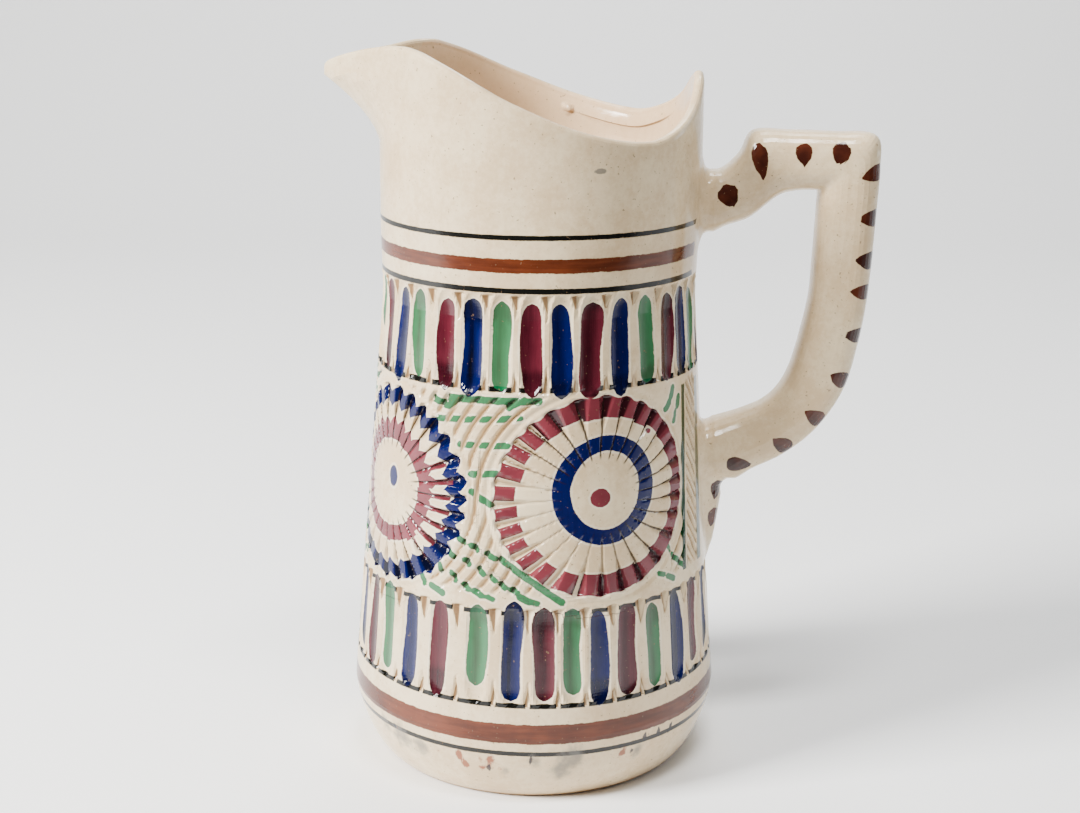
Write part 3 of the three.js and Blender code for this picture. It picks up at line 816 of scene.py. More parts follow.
# Smudges under the lowest line, by kind: bearing, height and size.
SMUDGES = {
    "rust": (
        (-23.6, 18.2, 1.5), (-21.8, 14.0, 1.5), (-16.4, 15.6, 2.4), (-13.2, 16.4, 2.2),
        (-10.4, 15.2, 1.6), (28.4, 18.4, 1.6), (-47.0, 23.5, 1.2), (-31.0, 16.8, 1.2),
    ),
    "ash": (
        (-46.0, 18.6, 6.5), (-38.0, 17.2, 4.5), (-54.0, 20.0, 4.0), (11.5, 18.2, 6.0), (8.0, 13.4, 4.5),
        (-9.0, 12.6, 2.6), (0.0, 19.0, 3.0), (34.0, 17.0, 3.0),
    ),
    "ink": (
        (-14.2, 13.6, 1.0), (-48.5, 21.6, 0.9), (-44.8, 19.8, 0.8), (29.6, 20.4, 1.3), (31.8, 17.4, 1.0),
        (36.0, 21.8, 1.2), (41.5, 22.4, 1.0), (26.2, 15.4, 0.7), (-1.0, 17.6, 0.9), (16.4, 19.6, 1.0),
        (47.0, 22.0, 0.8), (21.5, 12.4, 0.6),
    ),
}


def to_stroke(bearing, z, start, end, half):
    """Distance to a round-ended stroke on the wall."""
    radius = wall_radius(z)
    px = np.radians(turn_between(bearing, start[0])) * radius
    pz = z - start[1]
    dx = np.radians(turn_between(end[0], start[0])) * radius
    dz = end[1] - start[1]
    t = clamp01((px * dx + pz * dz) / (dx * dx + dz * dz + 1e-9))
    return np.hypot(px - t * dx, pz - t * dz) - half


def flute_strokes(bearing, z, strokes):
    """Fields of the three colours of the strokes in the flutes, and how dark they are: darker where the
    paint pools at the ends, and painted shade in the middle of each flute's hollow.
    """
    fields = {colour: np.full_like(z, FAR) for colour in STROKE_COLOURS.values()}
    pool_and_shade = np.zeros_like(z)
    radius = wall_radius(z)
    for letter, centre, top, bottom, width, lean, shade in strokes:
        colour = STROKE_COLOURS[letter]
        middle = (top + bottom) / 2
        s = (z - middle) / (top - bottom) * 2
        sway = lean * s / 2 + 0.35 * np.sin(s * 2.6 + centre)
        x = np.radians(turn_between(bearing, centre)) * radius - sway
        fat = width / 2 * np.sqrt(1 - clamp01(np.abs(s)) ** 7) * (1 + 0.07 * np.sin(s * 3.1 + 2 * centre))
        inside = np.abs(s) < 1
        field = np.where(inside, np.abs(x) - fat, np.hypot(x, (np.abs(s) - 1) * (top - bottom) / 2))
        field = np.where(np.abs(x) < width, field, FAR)
        # Painted shade: the middle of the flute's hollow darker, a little left of its middle line
        hollow_shade = 1 - clamp01(np.abs(x / width + 0.10) * 2.6)
        pool = step_between(0.72, 0.98, np.abs(s + shade - 0.5))
        deep = np.maximum(hollow_shade * (0.35 + 0.75 * shade), 0.8 * pool)
        pool_and_shade = np.where(field < np.minimum(fields[colour], 1.5), deep, pool_and_shade)
        fields[colour] = np.minimum(fields[colour], field)
    return fields, pool_and_shade


def stroke_rows(seen, low, high):
    """The strokes of one band: those seen in front, and the rest of the round in the same manner."""
    marks = list(seen)
    for colour, centre in zip(HIDDEN_ORDER, flute_centres(seen)[len(seen):]):
        top, bottom = high + rng.uniform(-1.5, 0.8), low + rng.uniform(-1.6, 1.2)
        marks.append((colour, centre, top, bottom, rng.uniform(6.3, 7.5)))
    return [(*mark, rng.uniform(-0.9, 1.1), rng.uniform(0, 1)) for mark in marks]


def strokes_between(bearing, z, strokes):
    """Distance to the nearest green stroke between two rosettes. Every other gap is mirrored."""
    nearest = np.full_like(z, FAR)
    for index, (first, second) in enumerate(zip(ROSETTES[:-1], ROSETTES[1:])):
        middle = (first[0] + second[0]) / 2
        way = 1 if index % 2 == 0 else -1
        for b0, z0, b1, z1, half in strokes:
            stroke = to_stroke(bearing, z, (middle + way * b0, z0), (middle + way * b1, z1), half)
            nearest = np.minimum(nearest, stroke)
    return nearest


def green_paint(bearing, z):
    ridges = (groove_cuts(bearing, z) - RIDGE_DEPTH) * RIDGE_EDGE
    green = np.maximum(strokes_between(bearing, z, RIDGE_STROKES), ridges)
    green = np.minimum(green, strokes_between(bearing, z, GREEN_STROKES)) - GREEN_SPREAD
    for b0, z0, b1, z1, half in SIDE_TOUCHES:
        green = np.minimum(green, to_stroke(bearing, z, (b0, z0), (b1, z1), half))
        green = np.minimum(green, to_stroke(bearing, z, (180 - b0, z0), (180 - b1, z1), half))
    return green


def handle_paint(x, y, z):
    """Distance outside the brown touches. Low down they stay on the sides, clear of the middle."""
    brown = np.full_like(z, FAR)
    for px, pz, length, width, way in HANDLE_TOUCHES:
        a = np.radians(way)
        s = ((x - px) * np.cos(a) + (z - pz) * np.sin(a)) / (length / 2)
        across = np.abs(-(x - px) * np.sin(a) + (z - pz) * np.cos(a))
        fat = width / 2 * np.sqrt(clamp01(1 - s ** 2)) * (1 - TOUCH_TAPER * s)
        beyond = np.hypot(across, (np.abs(s) - 1) * length / 2)
        brown = np.minimum(brown, np.where(np.abs(s) < 1, across - fat, beyond))
    return np.where(z < TOUCHES_PART, np.maximum(brown, TOUCH_GAP - np.abs(y)), brown)


def rosette_places(bearing, z, on_wall):
    """Place in the nearest rosette, as shares of its half sizes, and whether it is a blue one."""
    place = np.tile((5.0, 5.0, 0.0), (len(z), 1))
    for rosette in ROSETTES:
        u, v = rosette_place(bearing, z, rosette)
        near = (np.hypot(u, v) < 1.25) & on_wall & (np.hypot(u, v) < np.hypot(place[:, 0], place[:, 1]))
        place[near, 0], place[near, 1] = u[near], v[near]
        place[near, 2] = 1.0 if rosette[4] == "blue" else 0.0
    return place


def smudge_field(bearing, z, spots):
    field = np.zeros_like(z)
    for b0, z0, size in spots:
        off = np.maximum(to_stroke(bearing, z, (b0, z0), (b0 + 0.1, z0), 0), 0)
        field = np.maximum(field, np.exp(-(off / size) ** 2))
    return field


def paint_fields(points):
    x, y, z = points.T / MM
    bearing = np.degrees(np.arctan2(x - drift(z), -y))
    around = np.hypot(x - drift(z), y)
    outside = around > wall_radius(z) - WALL * BURIED_SHARE
    on_handle = (x > HANDLE_SIDE) & (around > wall_radius(z) + 0.7)
    on_wall = outside & ~on_handle & (z > 1)

    strokes = stroke_rows(UPPER_SEEN, *UPPER_BAND) + stroke_rows(LOWER_SEEN, *LOWER_BAND)
    colours, pool_and_shade = flute_strokes(bearing, z, strokes)
    colours["green"] = np.minimum(colours["green"], green_paint(bearing, z))
    touches = np.where(on_handle | (around > wall_radius(z) + 0.3), handle_paint(x, y, z), FAR)

    ends = HANDLE_GAP + LINE_STAGGER * np.sin(z * 0.55)
    past_handle = np.where(z > UPPER_BAND[1], ends - np.abs(turn_between(bearing, 90)), -FAR)
    phase, clear = groove_phase(bearing, z)
    offset = column_offset(bearing, z)
    beside = mix(*COLUMN_LINES, column_share(z))
    off_lines = np.abs(np.abs(offset) - beside) - np.where(offset > 0, *COLUMN_STROKES)
    fields = {
        **{name: np.where(on_wall, np.minimum(field, FAR), FAR) for name, field in colours.items()},
        "touches": np.minimum(touches, FAR),
        "unlined": np.where(on_wall, np.clip(past_handle, -FAR, FAR), FAR),
        "notch": np.minimum(mark_distance(bearing, z, notch_centres), FAR),
        "notch_side": notch_side(bearing, z),
        "pool_and_shade": pool_and_shade,
        "swirl": phase,
        "swirl_clear": np.where(on_wall, clear, 0),
        "off_wall": np.where(on_wall, -FAR, FAR),
        "column": np.minimum(off_lines, FAR),
        "inside": np.where(outside | on_handle, 0.0, 1.0),
        "under": np.where(z < UNDERSIDE, 1.0, 0.0),
    }
    for kind, spots in SMUDGES.items():
        fields[kind] = np.where(on_wall, smudge_field(bearing, z, spots), 0)
    return fields, rosette_places(bearing, z, on_wall)


def keep_fields(mesh, fields, place):
    for name, values in fields.items():
        layer = mesh.attributes.new(name, "FLOAT", "POINT")
        layer.data.foreach_set("value", values.astype(np.float32))
    layer = mesh.attributes.new("place", "FLOAT_VECTOR", "POINT")
    layer.data.foreach_set("vector", place.astype(np.float32).ravel())


keep_fields(jug.data, *paint_fields(coordinates(jug.data)))

# Glaze, as nodes over the painted fields

CREAM = (0.645, 0.480, 0.285)
CREAM_LIGHT = (0.790, 0.640, 0.415)
CREAM_WARM = (0.600, 0.400, 0.220)
# Bare clay of the underside, also used as painted shade in the grooves, the gouges and round the chips
BARE_CLAY_AND_SHADE = (0.400, 0.245, 0.120)
HALO = (0.850, 0.760, 0.600)
INSIDE_TINT = (0.700, 0.455, 0.265)
BLACK = (0.003, 0.003, 0.002)
BROWN_DARK, BROWN_LIGHT = (0.070, 0.015, 0.005), (0.135, 0.030, 0.010)
GREEN_DARK, GREEN_LIGHT = (0.000, 0.020, 0.006), (0.003, 0.130, 0.042)
MAROON_DARK, MAROON_LIGHT = (0.010, 0.000, 0.002), (0.080, 0.009, 0.017)
PETAL_LIGHT = (0.190, 0.032, 0.044)
BLUE_DARK, BLUE_LIGHT = (0.0001, 0.0002, 0.004), (0.0002, 0.0030, 0.062)
LINE_GREEN = (0.001, 0.030, 0.007)
TOUCH_DARK, TOUCH_LIGHT = (0.032, 0.007, 0.004), (0.080, 0.018, 0.008)
RUST, ASH, INK = (0.260, 0.060, 0.022), (0.150, 0.140, 0.125), (0.004, 0.006, 0.020)
# Dark of the painted shade along the rosettes' hairline cuts, and the colour of specks
HAIRLINE_SHADE, SPECK = (0.014, 0.006, 0.004), (0.160, 0.095, 0.050)
# Kinds of smudge: field, tint, the field's value where it starts and where it is full, and its most
SMUDGE_LOOKS = (("ash", ASH, 0.25, 1.0, 0.75), ("rust", RUST, 0.34, 0.60, 0.9), ("ink", INK, 0.40, 0.6, 0.9))
# Painted shade on the face of a chip turned from the light; its other face gets CREAM_LIGHT as a painted
# highlight
CHIP_SHADE = (0.330, 0.205, 0.110)
EDGE_SOFT = 0.16
SMOOTH, ROUGH_RANGE = 0.10, 0.10
SPECULAR = 0.38
# Small grey mark on the neck: sideways place, height and half sizes
NECK_MARK = (21.0, 222.8, 1.9, 0.9)
# Chips: height of the flat end, the way they point, half width and length
CHIPS = ((181.2, -1, 2.1, 5.6), (148.4, 1, 1.2, 5.6), (73.2, -1, 2.4, 8.4), (39.0, 1, 1.3, 5.6))


def arithmetic(operation, swapped=False):
    def apply(self, other):
        first, second = (other, self) if swapped else (self, other)
        return self.nodes.math(operation, first, second)
    return apply


class Value:
    """A socket that can be used in plain arithmetic."""

    def __init__(self, nodes, socket):
        self.nodes = nodes
        self.socket = socket

    def __abs__(self):
        return self.nodes.math("ABSOLUTE", self)

    __add__, __radd__ = arithmetic("ADD"), arithmetic("ADD", swapped=True)
    __sub__, __rsub__ = arithmetic("SUBTRACT"), arithmetic("SUBTRACT", swapped=True)
    __mul__, __rmul__ = arithmetic("MULTIPLY"), arithmetic("MULTIPLY", swapped=True)
    __truediv__ = arithmetic("DIVIDE")


class Nodes:
    """Short calls for building a node tree."""

    def __init__(self, material):
        material.use_nodes = True
        self.tree = material.node_tree
        self.shader = self.tree.nodes["Principled BSDF"]
        self.coordinates = Value(self, self.tree.nodes.new("ShaderNodeTexCoord").outputs["Object"])

    def put(self, socket, value):
        if isinstance(value, Value):
            self.tree.links.new(value.socket, socket)
        elif isinstance(value, tuple) and socket.type == "RGBA":
            socket.default_value = (*value, 1.0)
        else:
            socket.default_value = value

    def node(self, kind, inputs, output, **facts):
        node = self.tree.nodes.new(kind)
        for name, value in facts.items():
            setattr(node, name, value)
        for name, value in inputs.items():
            self.put(node.inputs[name], value)
        return Value(self, node.outputs[output])

    def math(self, operation, a, b=0.0):
        return self.node("ShaderNodeMath", {0: a, 1: b}, 0, operation=operation)

    def low(self, a, b):
        return self.math("MINIMUM", a, b)

    def high(self, a, b):
        return self.math("MAXIMUM", a, b)

    def unit(self, value):
        """The value kept between 0 and 1."""
        return self.low(self.high(value, 0.0), 1.0)

    def field(self, name):
        return self.node("ShaderNodeAttribute", {}, "Fac", attribute_name=name)

    def parts(self, vector):
        node = self.tree.nodes.new("ShaderNodeSeparateXYZ")
        self.put(node.inputs[0], vector)
        return [Value(self, output) for output in node.outputs]

    def ramp(self, value, start, end):
        return self.node("ShaderNodeMapRange", {"Value": value, "From Min": start, "From Max": end},
                         "Result", interpolation_type="SMOOTHSTEP")

    def mix(self, share, a, b):
        return self.node("ShaderNodeMix", {0: share, 6: a, 7: b}, 2, data_type="RGBA")

    def noise(self, scale, detail=3.0, stretch=None, roughness=0.5):
        where = self.coordinates
        if stretch:
            where = self.node("ShaderNodeMapping", {"Vector": where, "Scale": stretch}, 0)
        inputs = {"Vector": where, "Scale": scale, "Detail": detail, "Roughness": roughness}
        return self.node("ShaderNodeTexNoise", inputs, "Fac")

    def between(self, value, middle, half):
        """Distance outside a stretch of values."""
        return abs(value - middle) - half


def ellipse_edge(n, x, y, ellipse):
    """Distance outside an ellipse, given as its middle and its half sizes."""
    middle_x, middle_y, half_x, half_y = ellipse
    off_x, off_y = x - middle_x, y - middle_y
    share = n.math("SQRT", (off_x * off_x) / half_x ** 2 + (off_y * off_y) / half_y ** 2)
    return (share - 1.0) * min(half_x, half_y)


def rosette_nodes(n):
    """Paint edges and gouges of the rosettes, with painted shade on the gouges' shaded faces and along the
    hairlines, from a point's place in its rosette.
    """
    size = ROSETTE_SIZE
    u, v, kind = n.parts(n.node("ShaderNodeAttribute", {}, "Vector", attribute_name="place"))
    x, y = u * size, v * size
    share = n.math("SQRT", u * u + v * v)
    clock = n.math("ARCTAN2", u, v)
    sine, cosine = n.math("SINE", clock), n.math("COSINE", clock)
    lean = n.math("SINE", clock * 2.0 + LEAN_SLOW[1]) * LEAN_SLOW[0]
    lean = lean + n.math("SINE", clock * 5.0 + LEAN_FAST[1]) * LEAN_FAST[0]
    turns = (clock - lean * (share - GOUGE_START)) * (ROSETTE_GOUGES / (2 * np.pi))
    petal = n.math("FLOOR", turns + 0.5)
    t = n.math("FRACT", turns + 0.5) - 0.5
    pitch = share * (2 * np.pi * size / ROSETTE_GOUGES)
    across = abs(t) * pitch
    step = n.math("SINE", petal * 2.4) * 0.016 + n.math("SINE", petal * 5.1 + 2.0) * 0.010

    out = n.unit((share - GOUGE_OPEN) / (1 - GOUGE_OPEN))
    half = out * (GOUGE_WIDTH / 2 - GOUGE_LINE) + GOUGE_LINE
    skew = t * pitch / half + GOUGE_SKEW
    wedge = n.unit(n.low(1.0 - skew / (1 + GOUGE_SKEW), 1.0 + skew / (1 - GOUGE_SKEW)))
    wedge = wedge * n.ramp(share, MOAT_START, 1.0) * n.ramp(share, GOUGE_START, GOUGE_START + GOUGE_EASE)
    # Painted shade on the face of each gouge that is turned from the light
    shaded_face = n.ramp(wedge, 0.10, 0.45) * n.ramp(skew, -0.25, 0.10)

    def red_rosette():
        """Maroon petals and dots, and a blue ring."""
        stagger = n.math("SINE", n.math("FLOOR", turns) * 2.4) * RIM_STAGGER
        inner = n.ramp(sine, 0.2, 1.0) * RIM_NARROWING + stagger + RIM_INNER - share
        outer = share - RIM_OUTER - n.math("COSINE", turns * (2 * np.pi)) * RIM_SCALLOP
        lower_left = n.ramp(sine * -0.8 - cosine * 0.6, 0.35, 0.9)
        bare_side = lower_left * n.ramp(cosine * -1.0 - sine * 0.3, -0.2, 0.5)
        bare_gap = bare_side * 4.0 - across - PETAL_HALF
        bare_face = (wedge - 0.45) * 6.0 - n.ramp(sine * -1.0, 0.75, 0.35) * 12.0
        maroon = n.high(n.high(inner, outer) * size, n.high(bare_gap, bare_face))
        for dot in (DISC_DOT, STRAY_DOT):
            maroon = n.low(maroon, ellipse_edge(n, x, y, dot))
        inside_ring = 0.0 - ellipse_edge(n, x, y, RING_INNER)
        return maroon, n.high(ellipse_edge(n, x, y, RING_OUTER), inside_ring)

    def blue_rosette():
        """A maroon ring of teeth with long gouges to the right, and a blue ribbon that zigzags."""
        tooth = (1.0 - abs(t) * 2.0) * n.ramp(cosine, -0.5, 0.4) * TOOTH_LENGTH
        ring = n.high(step * 0.5 + TOOTH_INNER - share, share - (tooth + TOOTH_OUTER + step)) * size
        start, end = LONG_GOUGE
        gouges = n.high(start - share, share - end - step) * size
        to_the_left = (0.76 - sine * 0.98 + cosine * 0.17) * 8.0
        gouges = n.high(n.high(gouges, across - LONG_GOUGE_HALF), to_the_left)
        zigzag = (abs(t) * 2.0 - 0.5) * TOOTH_LENGTH
        ribbon = n.between(share + zigzag, RIBBON_MIDDLE, step * 0.6 + RIBBON_HALF) * size
        off_patch = (0.93 - sine * 0.64 + cosine * 0.77) * 8.0
        patch = n.high(n.between(share, PATCH_MIDDLE, PATCH_HALF) * size, off_patch)
        blue = n.low(n.low(ribbon, patch), ellipse_edge(n, x, y, BLUE_DOT))
        return n.low(ring, gouges), blue

    inside = n.ramp(share, *ROSETTE_EDGE)
    edges = [for_red + (for_blue - for_red) * kind + (1.0 - inside) * FAR
             for for_red, for_blue in zip(red_rosette(), blue_rosette())]

    # Painted shade: a dark line along the bottom of each hairline cut, fainter on the lower left
    off_line = abs(t * pitch + half * GOUGE_SKEW) + (n.noise(260.0) - 0.5) * 0.25
    line = 1.0 - n.ramp(off_line, *HAIRLINE_HALF)
    faint = n.ramp(sine * -0.8 - cosine * 0.6, 0.1, 0.8) * 0.65
    ragged = share + (n.noise(160.0) - 0.5) * 0.16
    hair_shade = line * (1.0 - faint) * n.ramp(ragged, 0.36, 0.42) * n.ramp(share, 1.0, 0.92)
    return {
        "maroon": edges[0],
        "blue": edges[1],
        "wedge": wedge * inside,
        "opened": n.ramp(out, 0.0, 0.35) * inside,
        "hair_shade": hair_shade * inside,
        "shaded_face": shaded_face * inside,
        "shade": 0.9 - n.ramp(sine - abs(cosine) * 0.4, 0.3, 0.8) * 0.45,
    }


class Glaze(Nodes):
    """Nodes of the glaze, with the noises and the marks that its coats share."""

    def __init__(self, material):
        super().__init__(material)
        self.slow, self.fine = self.noise(300.0, 4.0), self.noise(1400.0, 2.0)
        self.wobble = (self.slow - 0.5) * 1.1 + (self.fine - 0.5) * 0.5
        self.pools = self.noise(90.0, 3.0)
        self.mottle = self.noise(38.0, 5.0, roughness=0.62)
        self.x, self.y, self.z = (part * (1 / MM) for part in self.parts(self.coordinates))
        self.height = self.z + (self.noise(9.0, 1.0) - 0.5) * 1.6
        self.unlined, self.notch = self.field("unlined"), self.field("notch")
        self.rosette = rosette_nodes(self)
        self.wedge, self.opened = self.rosette["wedge"], self.rosette["opened"]
        self.green = self.field("green")
        self.maroon = self.low(self.field("maroon"), self.rosette["maroon"])
        self.blue = self.low(self.field("blue"), self.rosette["blue"])
        turn = self.math("FRACT", self.field("swirl"))
        saw = self.low(turn / GROOVE_RISE, (1.0 - turn) / (1 - GROOVE_RISE))
        self.groove = self.ramp(saw, 0.50, 0.95) * self.field("swirl_clear")
        self.chip, self.side = self.chips_at(CHIPS), self.field("notch_side")
        self.in_chip = self.covered(self.chip, 0.15)

    def covered(self, distance, amount=1.0, grow=0.0):
        """Share of paint at a distance outside its edge, which an amount of noise makes uneven."""
        return 1.0 - self.ramp(distance + self.wobble * amount, grow - EDGE_SOFT, grow + EDGE_SOFT)

    def lines_at(self, lines):
        """Distance outside the nearest of the painted lines round the wall."""
        nearest = FAR
        for middle, half, *gap in lines:
            stop = gap[0] - self.notch if gap else self.unlined
            nearest = self.low(self.high(self.between(self.height, middle, half), stop), nearest)
        return self.high(nearest, self.unlined)

    def chips_at(self, rows):
        """Distance outside the triangular chips, each with its flat end at one height."""
        nearest = FAR
        for start, way, half, length in rows:
            run = (self.height - start) * way
            nearest = self.low(self.high(self.notch + run * (half / length) - half, 0.0 - run), nearest)
        return self.high(nearest, self.field("off_wall"))

    def column_lines(self):
        """Distance outside the green lines beside the columns."""
        half_zone = (COLUMN_ZONE[1] - COLUMN_ZONE[0]) / 2
        beyond = self.between(self.height, COLUMN_ZONE[0] + half_zone - COLUMN_LINE_DROP, half_zone)
        return self.high(self.high(self.field("column"), beyond), self.field("off_wall"))


def clay_coats(n):
    """Tints of the clay and its clear glaze, painted shade in the grooves, gouges and chips, and a painted
    highlight on a chip's lit face, each with the share of what is under it that it hides.
    """
    # Painted shadow line round each chip, strongest on its shaded side
    chip_edge_shade = n.in_chip * (1.0 - n.ramp(abs(n.chip), 0.10, 0.35))
    return [
        (n.ramp(n.noise(14.0, 2.0), 0.45, 0.75) * 0.35, CREAM_WARM),
        (n.field("inside") * 0.6, INSIDE_TINT),
        # Painted shade: clay colour down in the grooves and in the opened gouges
        (n.ramp(n.groove, 0.25, 1.0) * 0.7, BARE_CLAY_AND_SHADE),
        (n.ramp(n.wedge, 0.25, 0.85) * n.opened * 0.55, BARE_CLAY_AND_SHADE),
        # A chip's shaded face in painted shade and its lit face in a painted highlight, then its painted
        # shadow line
        (n.in_chip, n.mix(n.ramp(n.side, -0.25, 0.30), CHIP_SHADE, CREAM_LIGHT)),
        (chip_edge_shade * (n.ramp(n.side, 0.1, -0.1) * 0.5 + 0.35), BARE_CLAY_AND_SHADE),
        *((n.covered(edge, 0.5, 0.7) * 0.5, HALO) for edge in (n.green, n.blue, n.maroon)),
    ]


def paint_coats(n):
    """The painted colours, darker where the paint pools, with painted shade on the shaded faces of the
    gouges, in the flutes' hollows, down in the grooves and along the hairlines.
    """
    streaks = n.noise(1.0, 3.0, stretch=(700.0, 700.0, 45.0))
    along = n.noise(1.0, 3.0, stretch=(60.0, 60.0, 700.0))
    in_rosette = n.ramp(n.rosette["maroon"], 1.0, 0.0)
    # Darker where the paint pools and streaks, and the painted shade of the flutes' hollows
    deep = n.unit(n.field("pool_and_shade") * 0.9 + streaks * 0.9 + n.pools * 0.5 - 0.70)
    deep = n.high(deep * (1.0 - in_rosette), in_rosette * (n.pools * 0.9 - 0.25))
    # Painted shade on the gouges' shaded faces, weaker on the right
    rich = n.unit(n.high(deep, n.rosette["shaded_face"] * n.opened * n.rosette["shade"]))
    # Painted shade: the green darker down in the grooves
    rich_green = n.high(rich * 0.8, n.ramp(n.groove, 0.2, 0.7) * 0.9)
    maroon_light = n.mix(in_rosette, MAROON_LIGHT, PETAL_LIGHT)
    brown = n.mix(n.ramp(along + n.pools * 0.8, 0.65, 1.25), BROWN_DARK, BROWN_LIGHT)
    touch = n.mix(n.ramp(n.pools, 0.4, 0.65), TOUCH_DARK, TOUCH_LIGHT)
    return [
        (n.covered(n.lines_at(BLACK_LINES + DASHED_LINES), 0.35), BLACK),
        (n.covered(n.lines_at(BROWN_BANDS), 0.8), brown),
        (n.covered(n.green, 0.6) * 0.96, n.mix(rich_green, GREEN_LIGHT, GREEN_DARK)),
        (n.covered(n.blue, 0.6), n.mix(rich, BLUE_LIGHT, BLUE_DARK)),
        (n.covered(n.maroon, 0.6), n.mix(rich, maroon_light, MAROON_DARK)),
        (n.covered(n.column_lines(), 0.35), LINE_GREEN),
        (n.covered(n.field("touches"), 0.5), touch),
        # Painted shade along the hairline cuts
        (n.rosette["hair_shade"] * 0.85, HAIRLINE_SHADE),
    ]


def dirt_coats(n):
    """Smudges and rust spots near the foot, the mark on the neck, specks, and the bare underside."""
    ragged = (n.slow - 0.5) * 1.1
    neck_mark = n.high(ellipse_edge(n, n.x, n.z, NECK_MARK), n.y)
    return [
        *((n.ramp(n.field(kind) + ragged, start, full) * most, tint)
          for kind, tint, start, full, most in SMUDGE_LOOKS),
        (n.covered(neck_mark, 0.8) * 0.8, ASH),
        (n.ramp(n.noise(900.0, 1.0), 0.715, 0.76) * 0.6, SPECK),
        (n.field("under") * 0.8, BARE_CLAY_AND_SHADE),
    ]


def make_glaze():
    material = bpy.data.materials.new("glazed_earthenware")
    n = Glaze(material)
    grain = n.noise(420.0, 4.0, roughness=0.7)
    colour = n.mix(n.ramp(n.mottle * 0.65 + grain * 0.35, 0.38, 0.62), CREAM, CREAM_LIGHT)
    for share, tint in clay_coats(n) + paint_coats(n) + dirt_coats(n):
        colour = n.mix(share, colour, tint)
    n.put(n.shader.inputs["Base Color"], colour)

    rough = n.ramp(n.mottle, 0.3, 0.7) * ROUGH_RANGE + n.field("under") * 0.4
    n.put(n.shader.inputs["Roughness"], rough + SMOOTH)
    n.shader.inputs["Specular IOR Level"].default_value = SPECULAR

    skin = n.noise(110.0, 3.0) * 0.12 + n.fine * 0.02
    carving = n.wedge * (n.opened * -0.75 - 0.25) - n.groove * 0.45 - n.in_chip * (0.5 - abs(n.side) * 0.4)
    paint = n.high(n.high(n.covered(n.green), n.covered(n.blue)), n.covered(n.maroon))
    bump = {"Strength": 1.0, "Distance": MM, "Height": skin + carving + paint * 0.06}
    n.put(n.shader.inputs["Normal"], n.node("ShaderNodeBump", bump, "Normal"))
    return material


jug.data.materials.clear()
jug.data.materials.append(make_glaze())

jug.name = jug.data.name = "carved_jug"
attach(jug, "root")
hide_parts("jug")


# Camera, at the photograph's place
CAMERA_PLACE = (0.0, -652.7, 301.8)
CAMERA_PITCH = 14.837
CAMERA_YAW = 0.153
CAMERA_ROLL = 0.309
CAMERA_LENS = 61.09
SENSOR_WIDTH = 36.0


def add_camera():
    data = bpy.data.cameras.new("camera")
    data.sensor_fit = "HORIZONTAL"
    data.sensor_width = SENSOR_WIDTH
    data.lens = CAMERA_LENS
    camera = bpy.data.objects.new("camera", data)
    bpy.context.scene.collection.objects.link(camera)
    pitch, yaw, roll = (float(np.radians(a)) for a in (CAMERA_PITCH, CAMERA_YAW, CAMERA_ROLL))
    turns = ((-yaw, "Z"), (float(np.pi / 2) - pitch, "X"), (roll, "Z"))
    camera.matrix_world = Matrix.Translation(Vector(CAMERA_PLACE) * MM)
    for angle, axis in turns:
        camera.matrix_world = camera.matrix_world @ Matrix.Rotation(angle, 4, axis)
    bpy.context.scene.camera = camera


add_camera()


def add_light(name, place, target, width, height, power, colour):
    data = bpy.data.lights.new(name, "AREA")
    data.shape = "RECTANGLE"
    data.size = width
    data.size_y = height
    data.energy = power
    data.color = colour
    light = bpy.data.objects.new(name, data)
    light.location = place
    direction = Vector(target) - Vector(place)
    light.rotation_euler = direction.to_track_quat("-Z", "Y").to_euler()
    bpy.context.scene.collection.objects.link(light)


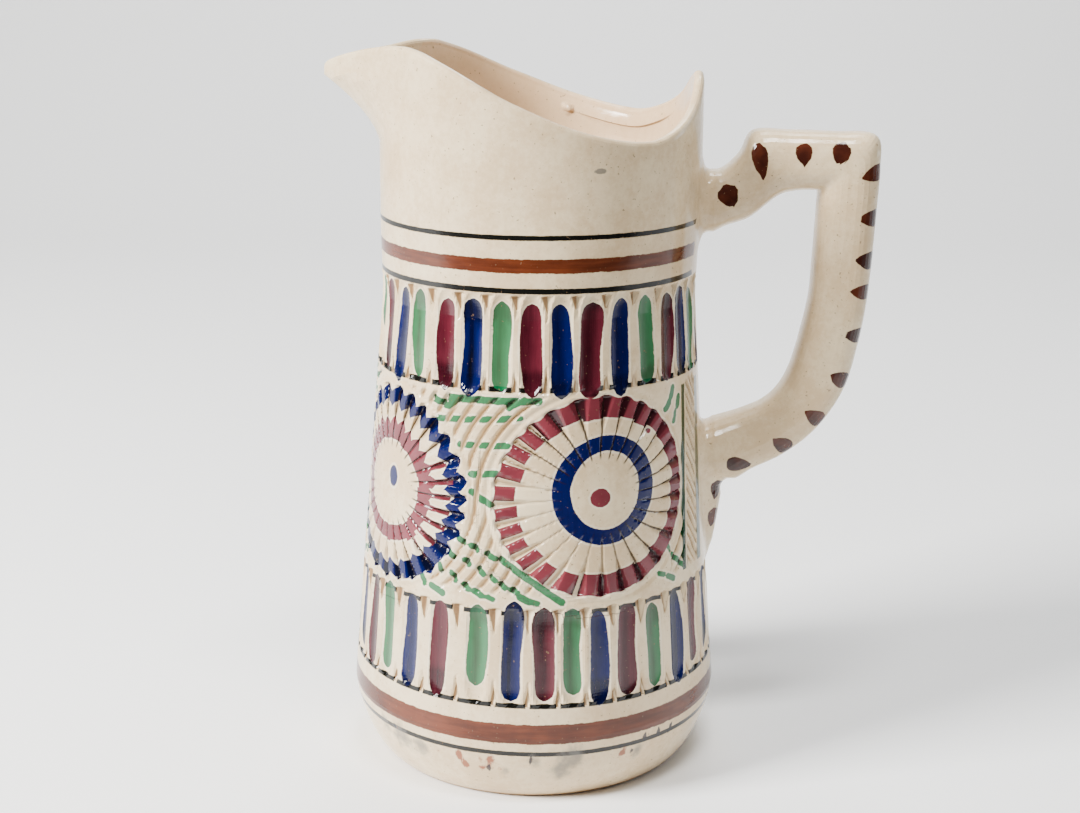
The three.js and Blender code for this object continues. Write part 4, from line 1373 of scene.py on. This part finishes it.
MIDDLE = (0.0, 0.0, 0.13)
WORLD_STRENGTH = 0.10
add_light("key", (-1.2, -0.55, 0.95), MIDDLE, 0.5, 0.5, 81.0, (1.0, 0.985, 0.95))
add_light("top", (0.1, -0.4, 1.25), MIDDLE, 0.40, 0.16, 12.0, (1.0, 0.99, 0.97))
add_light("side", (1.1, 0.35, 0.55), MIDDLE, 0.25, 0.9, 3.0, (0.78, 0.90, 1.0))
add_light("back", (0.2, 1.0, 1.6), (0.0, 1.2, 0.0), 1.0, 0.6, 17.0, (1.0, 1.0, 1.0))

world = bpy.data.worlds.new("studio")
world.use_nodes = True
background = world.node_tree.nodes["Background"]
background.inputs["Color"].default_value = (0.9, 0.92, 0.95, 1.0)
background.inputs["Strength"].default_value = WORLD_STRENGTH
bpy.context.scene.world = world


FLOOR_REACH = 5.0
FLOOR_PALE, FLOOR_GREY = (0.97, 0.975, 0.98), (0.06, 0.06, 0.062)
FADE_FROM, FADE_TO = -0.22, -0.42
FLOOR_DEPTH = 1.1
SWEEP_RADIUS = 0.7
SWEEP_STEPS = 16


def add_floor():
    """Pale floor that sweeps up into a backdrop, and fades to grey in front of the picture, so that the
    glaze mirrors less white."""
    rows = [(-FLOOR_REACH, 0.0), (FLOOR_DEPTH, 0.0)]
    for i in range(1, SWEEP_STEPS + 1):
        a = np.pi / 2 * i / SWEEP_STEPS
        rows.append((FLOOR_DEPTH + SWEEP_RADIUS * float(np.sin(a)), SWEEP_RADIUS * (1 - float(np.cos(a)))))
    rows.append((FLOOR_DEPTH + SWEEP_RADIUS, FLOOR_REACH))
    corners = [(x, y, z) for y, z in rows for x in (-FLOOR_REACH, FLOOR_REACH)]
    mesh = bpy.data.meshes.new("floor")
    mesh.from_pydata(corners, [], [(2 * i, 2 * i + 1, 2 * i + 3, 2 * i + 2) for i in range(len(rows) - 1)])
    mesh.shade_smooth()
    floor = bpy.data.objects.new("floor", mesh)
    bpy.context.scene.collection.objects.link(floor)
    material = bpy.data.materials.new("pale_floor")
    n = Nodes(material)
    fade = n.ramp(n.parts(n.coordinates)[1], FADE_FROM, FADE_TO)
    n.put(n.shader.inputs["Base Color"], n.mix(fade, FLOOR_PALE, FLOOR_GREY))
    n.shader.inputs["Roughness"].default_value = 0.6
    mesh.materials.append(material)


add_floor()
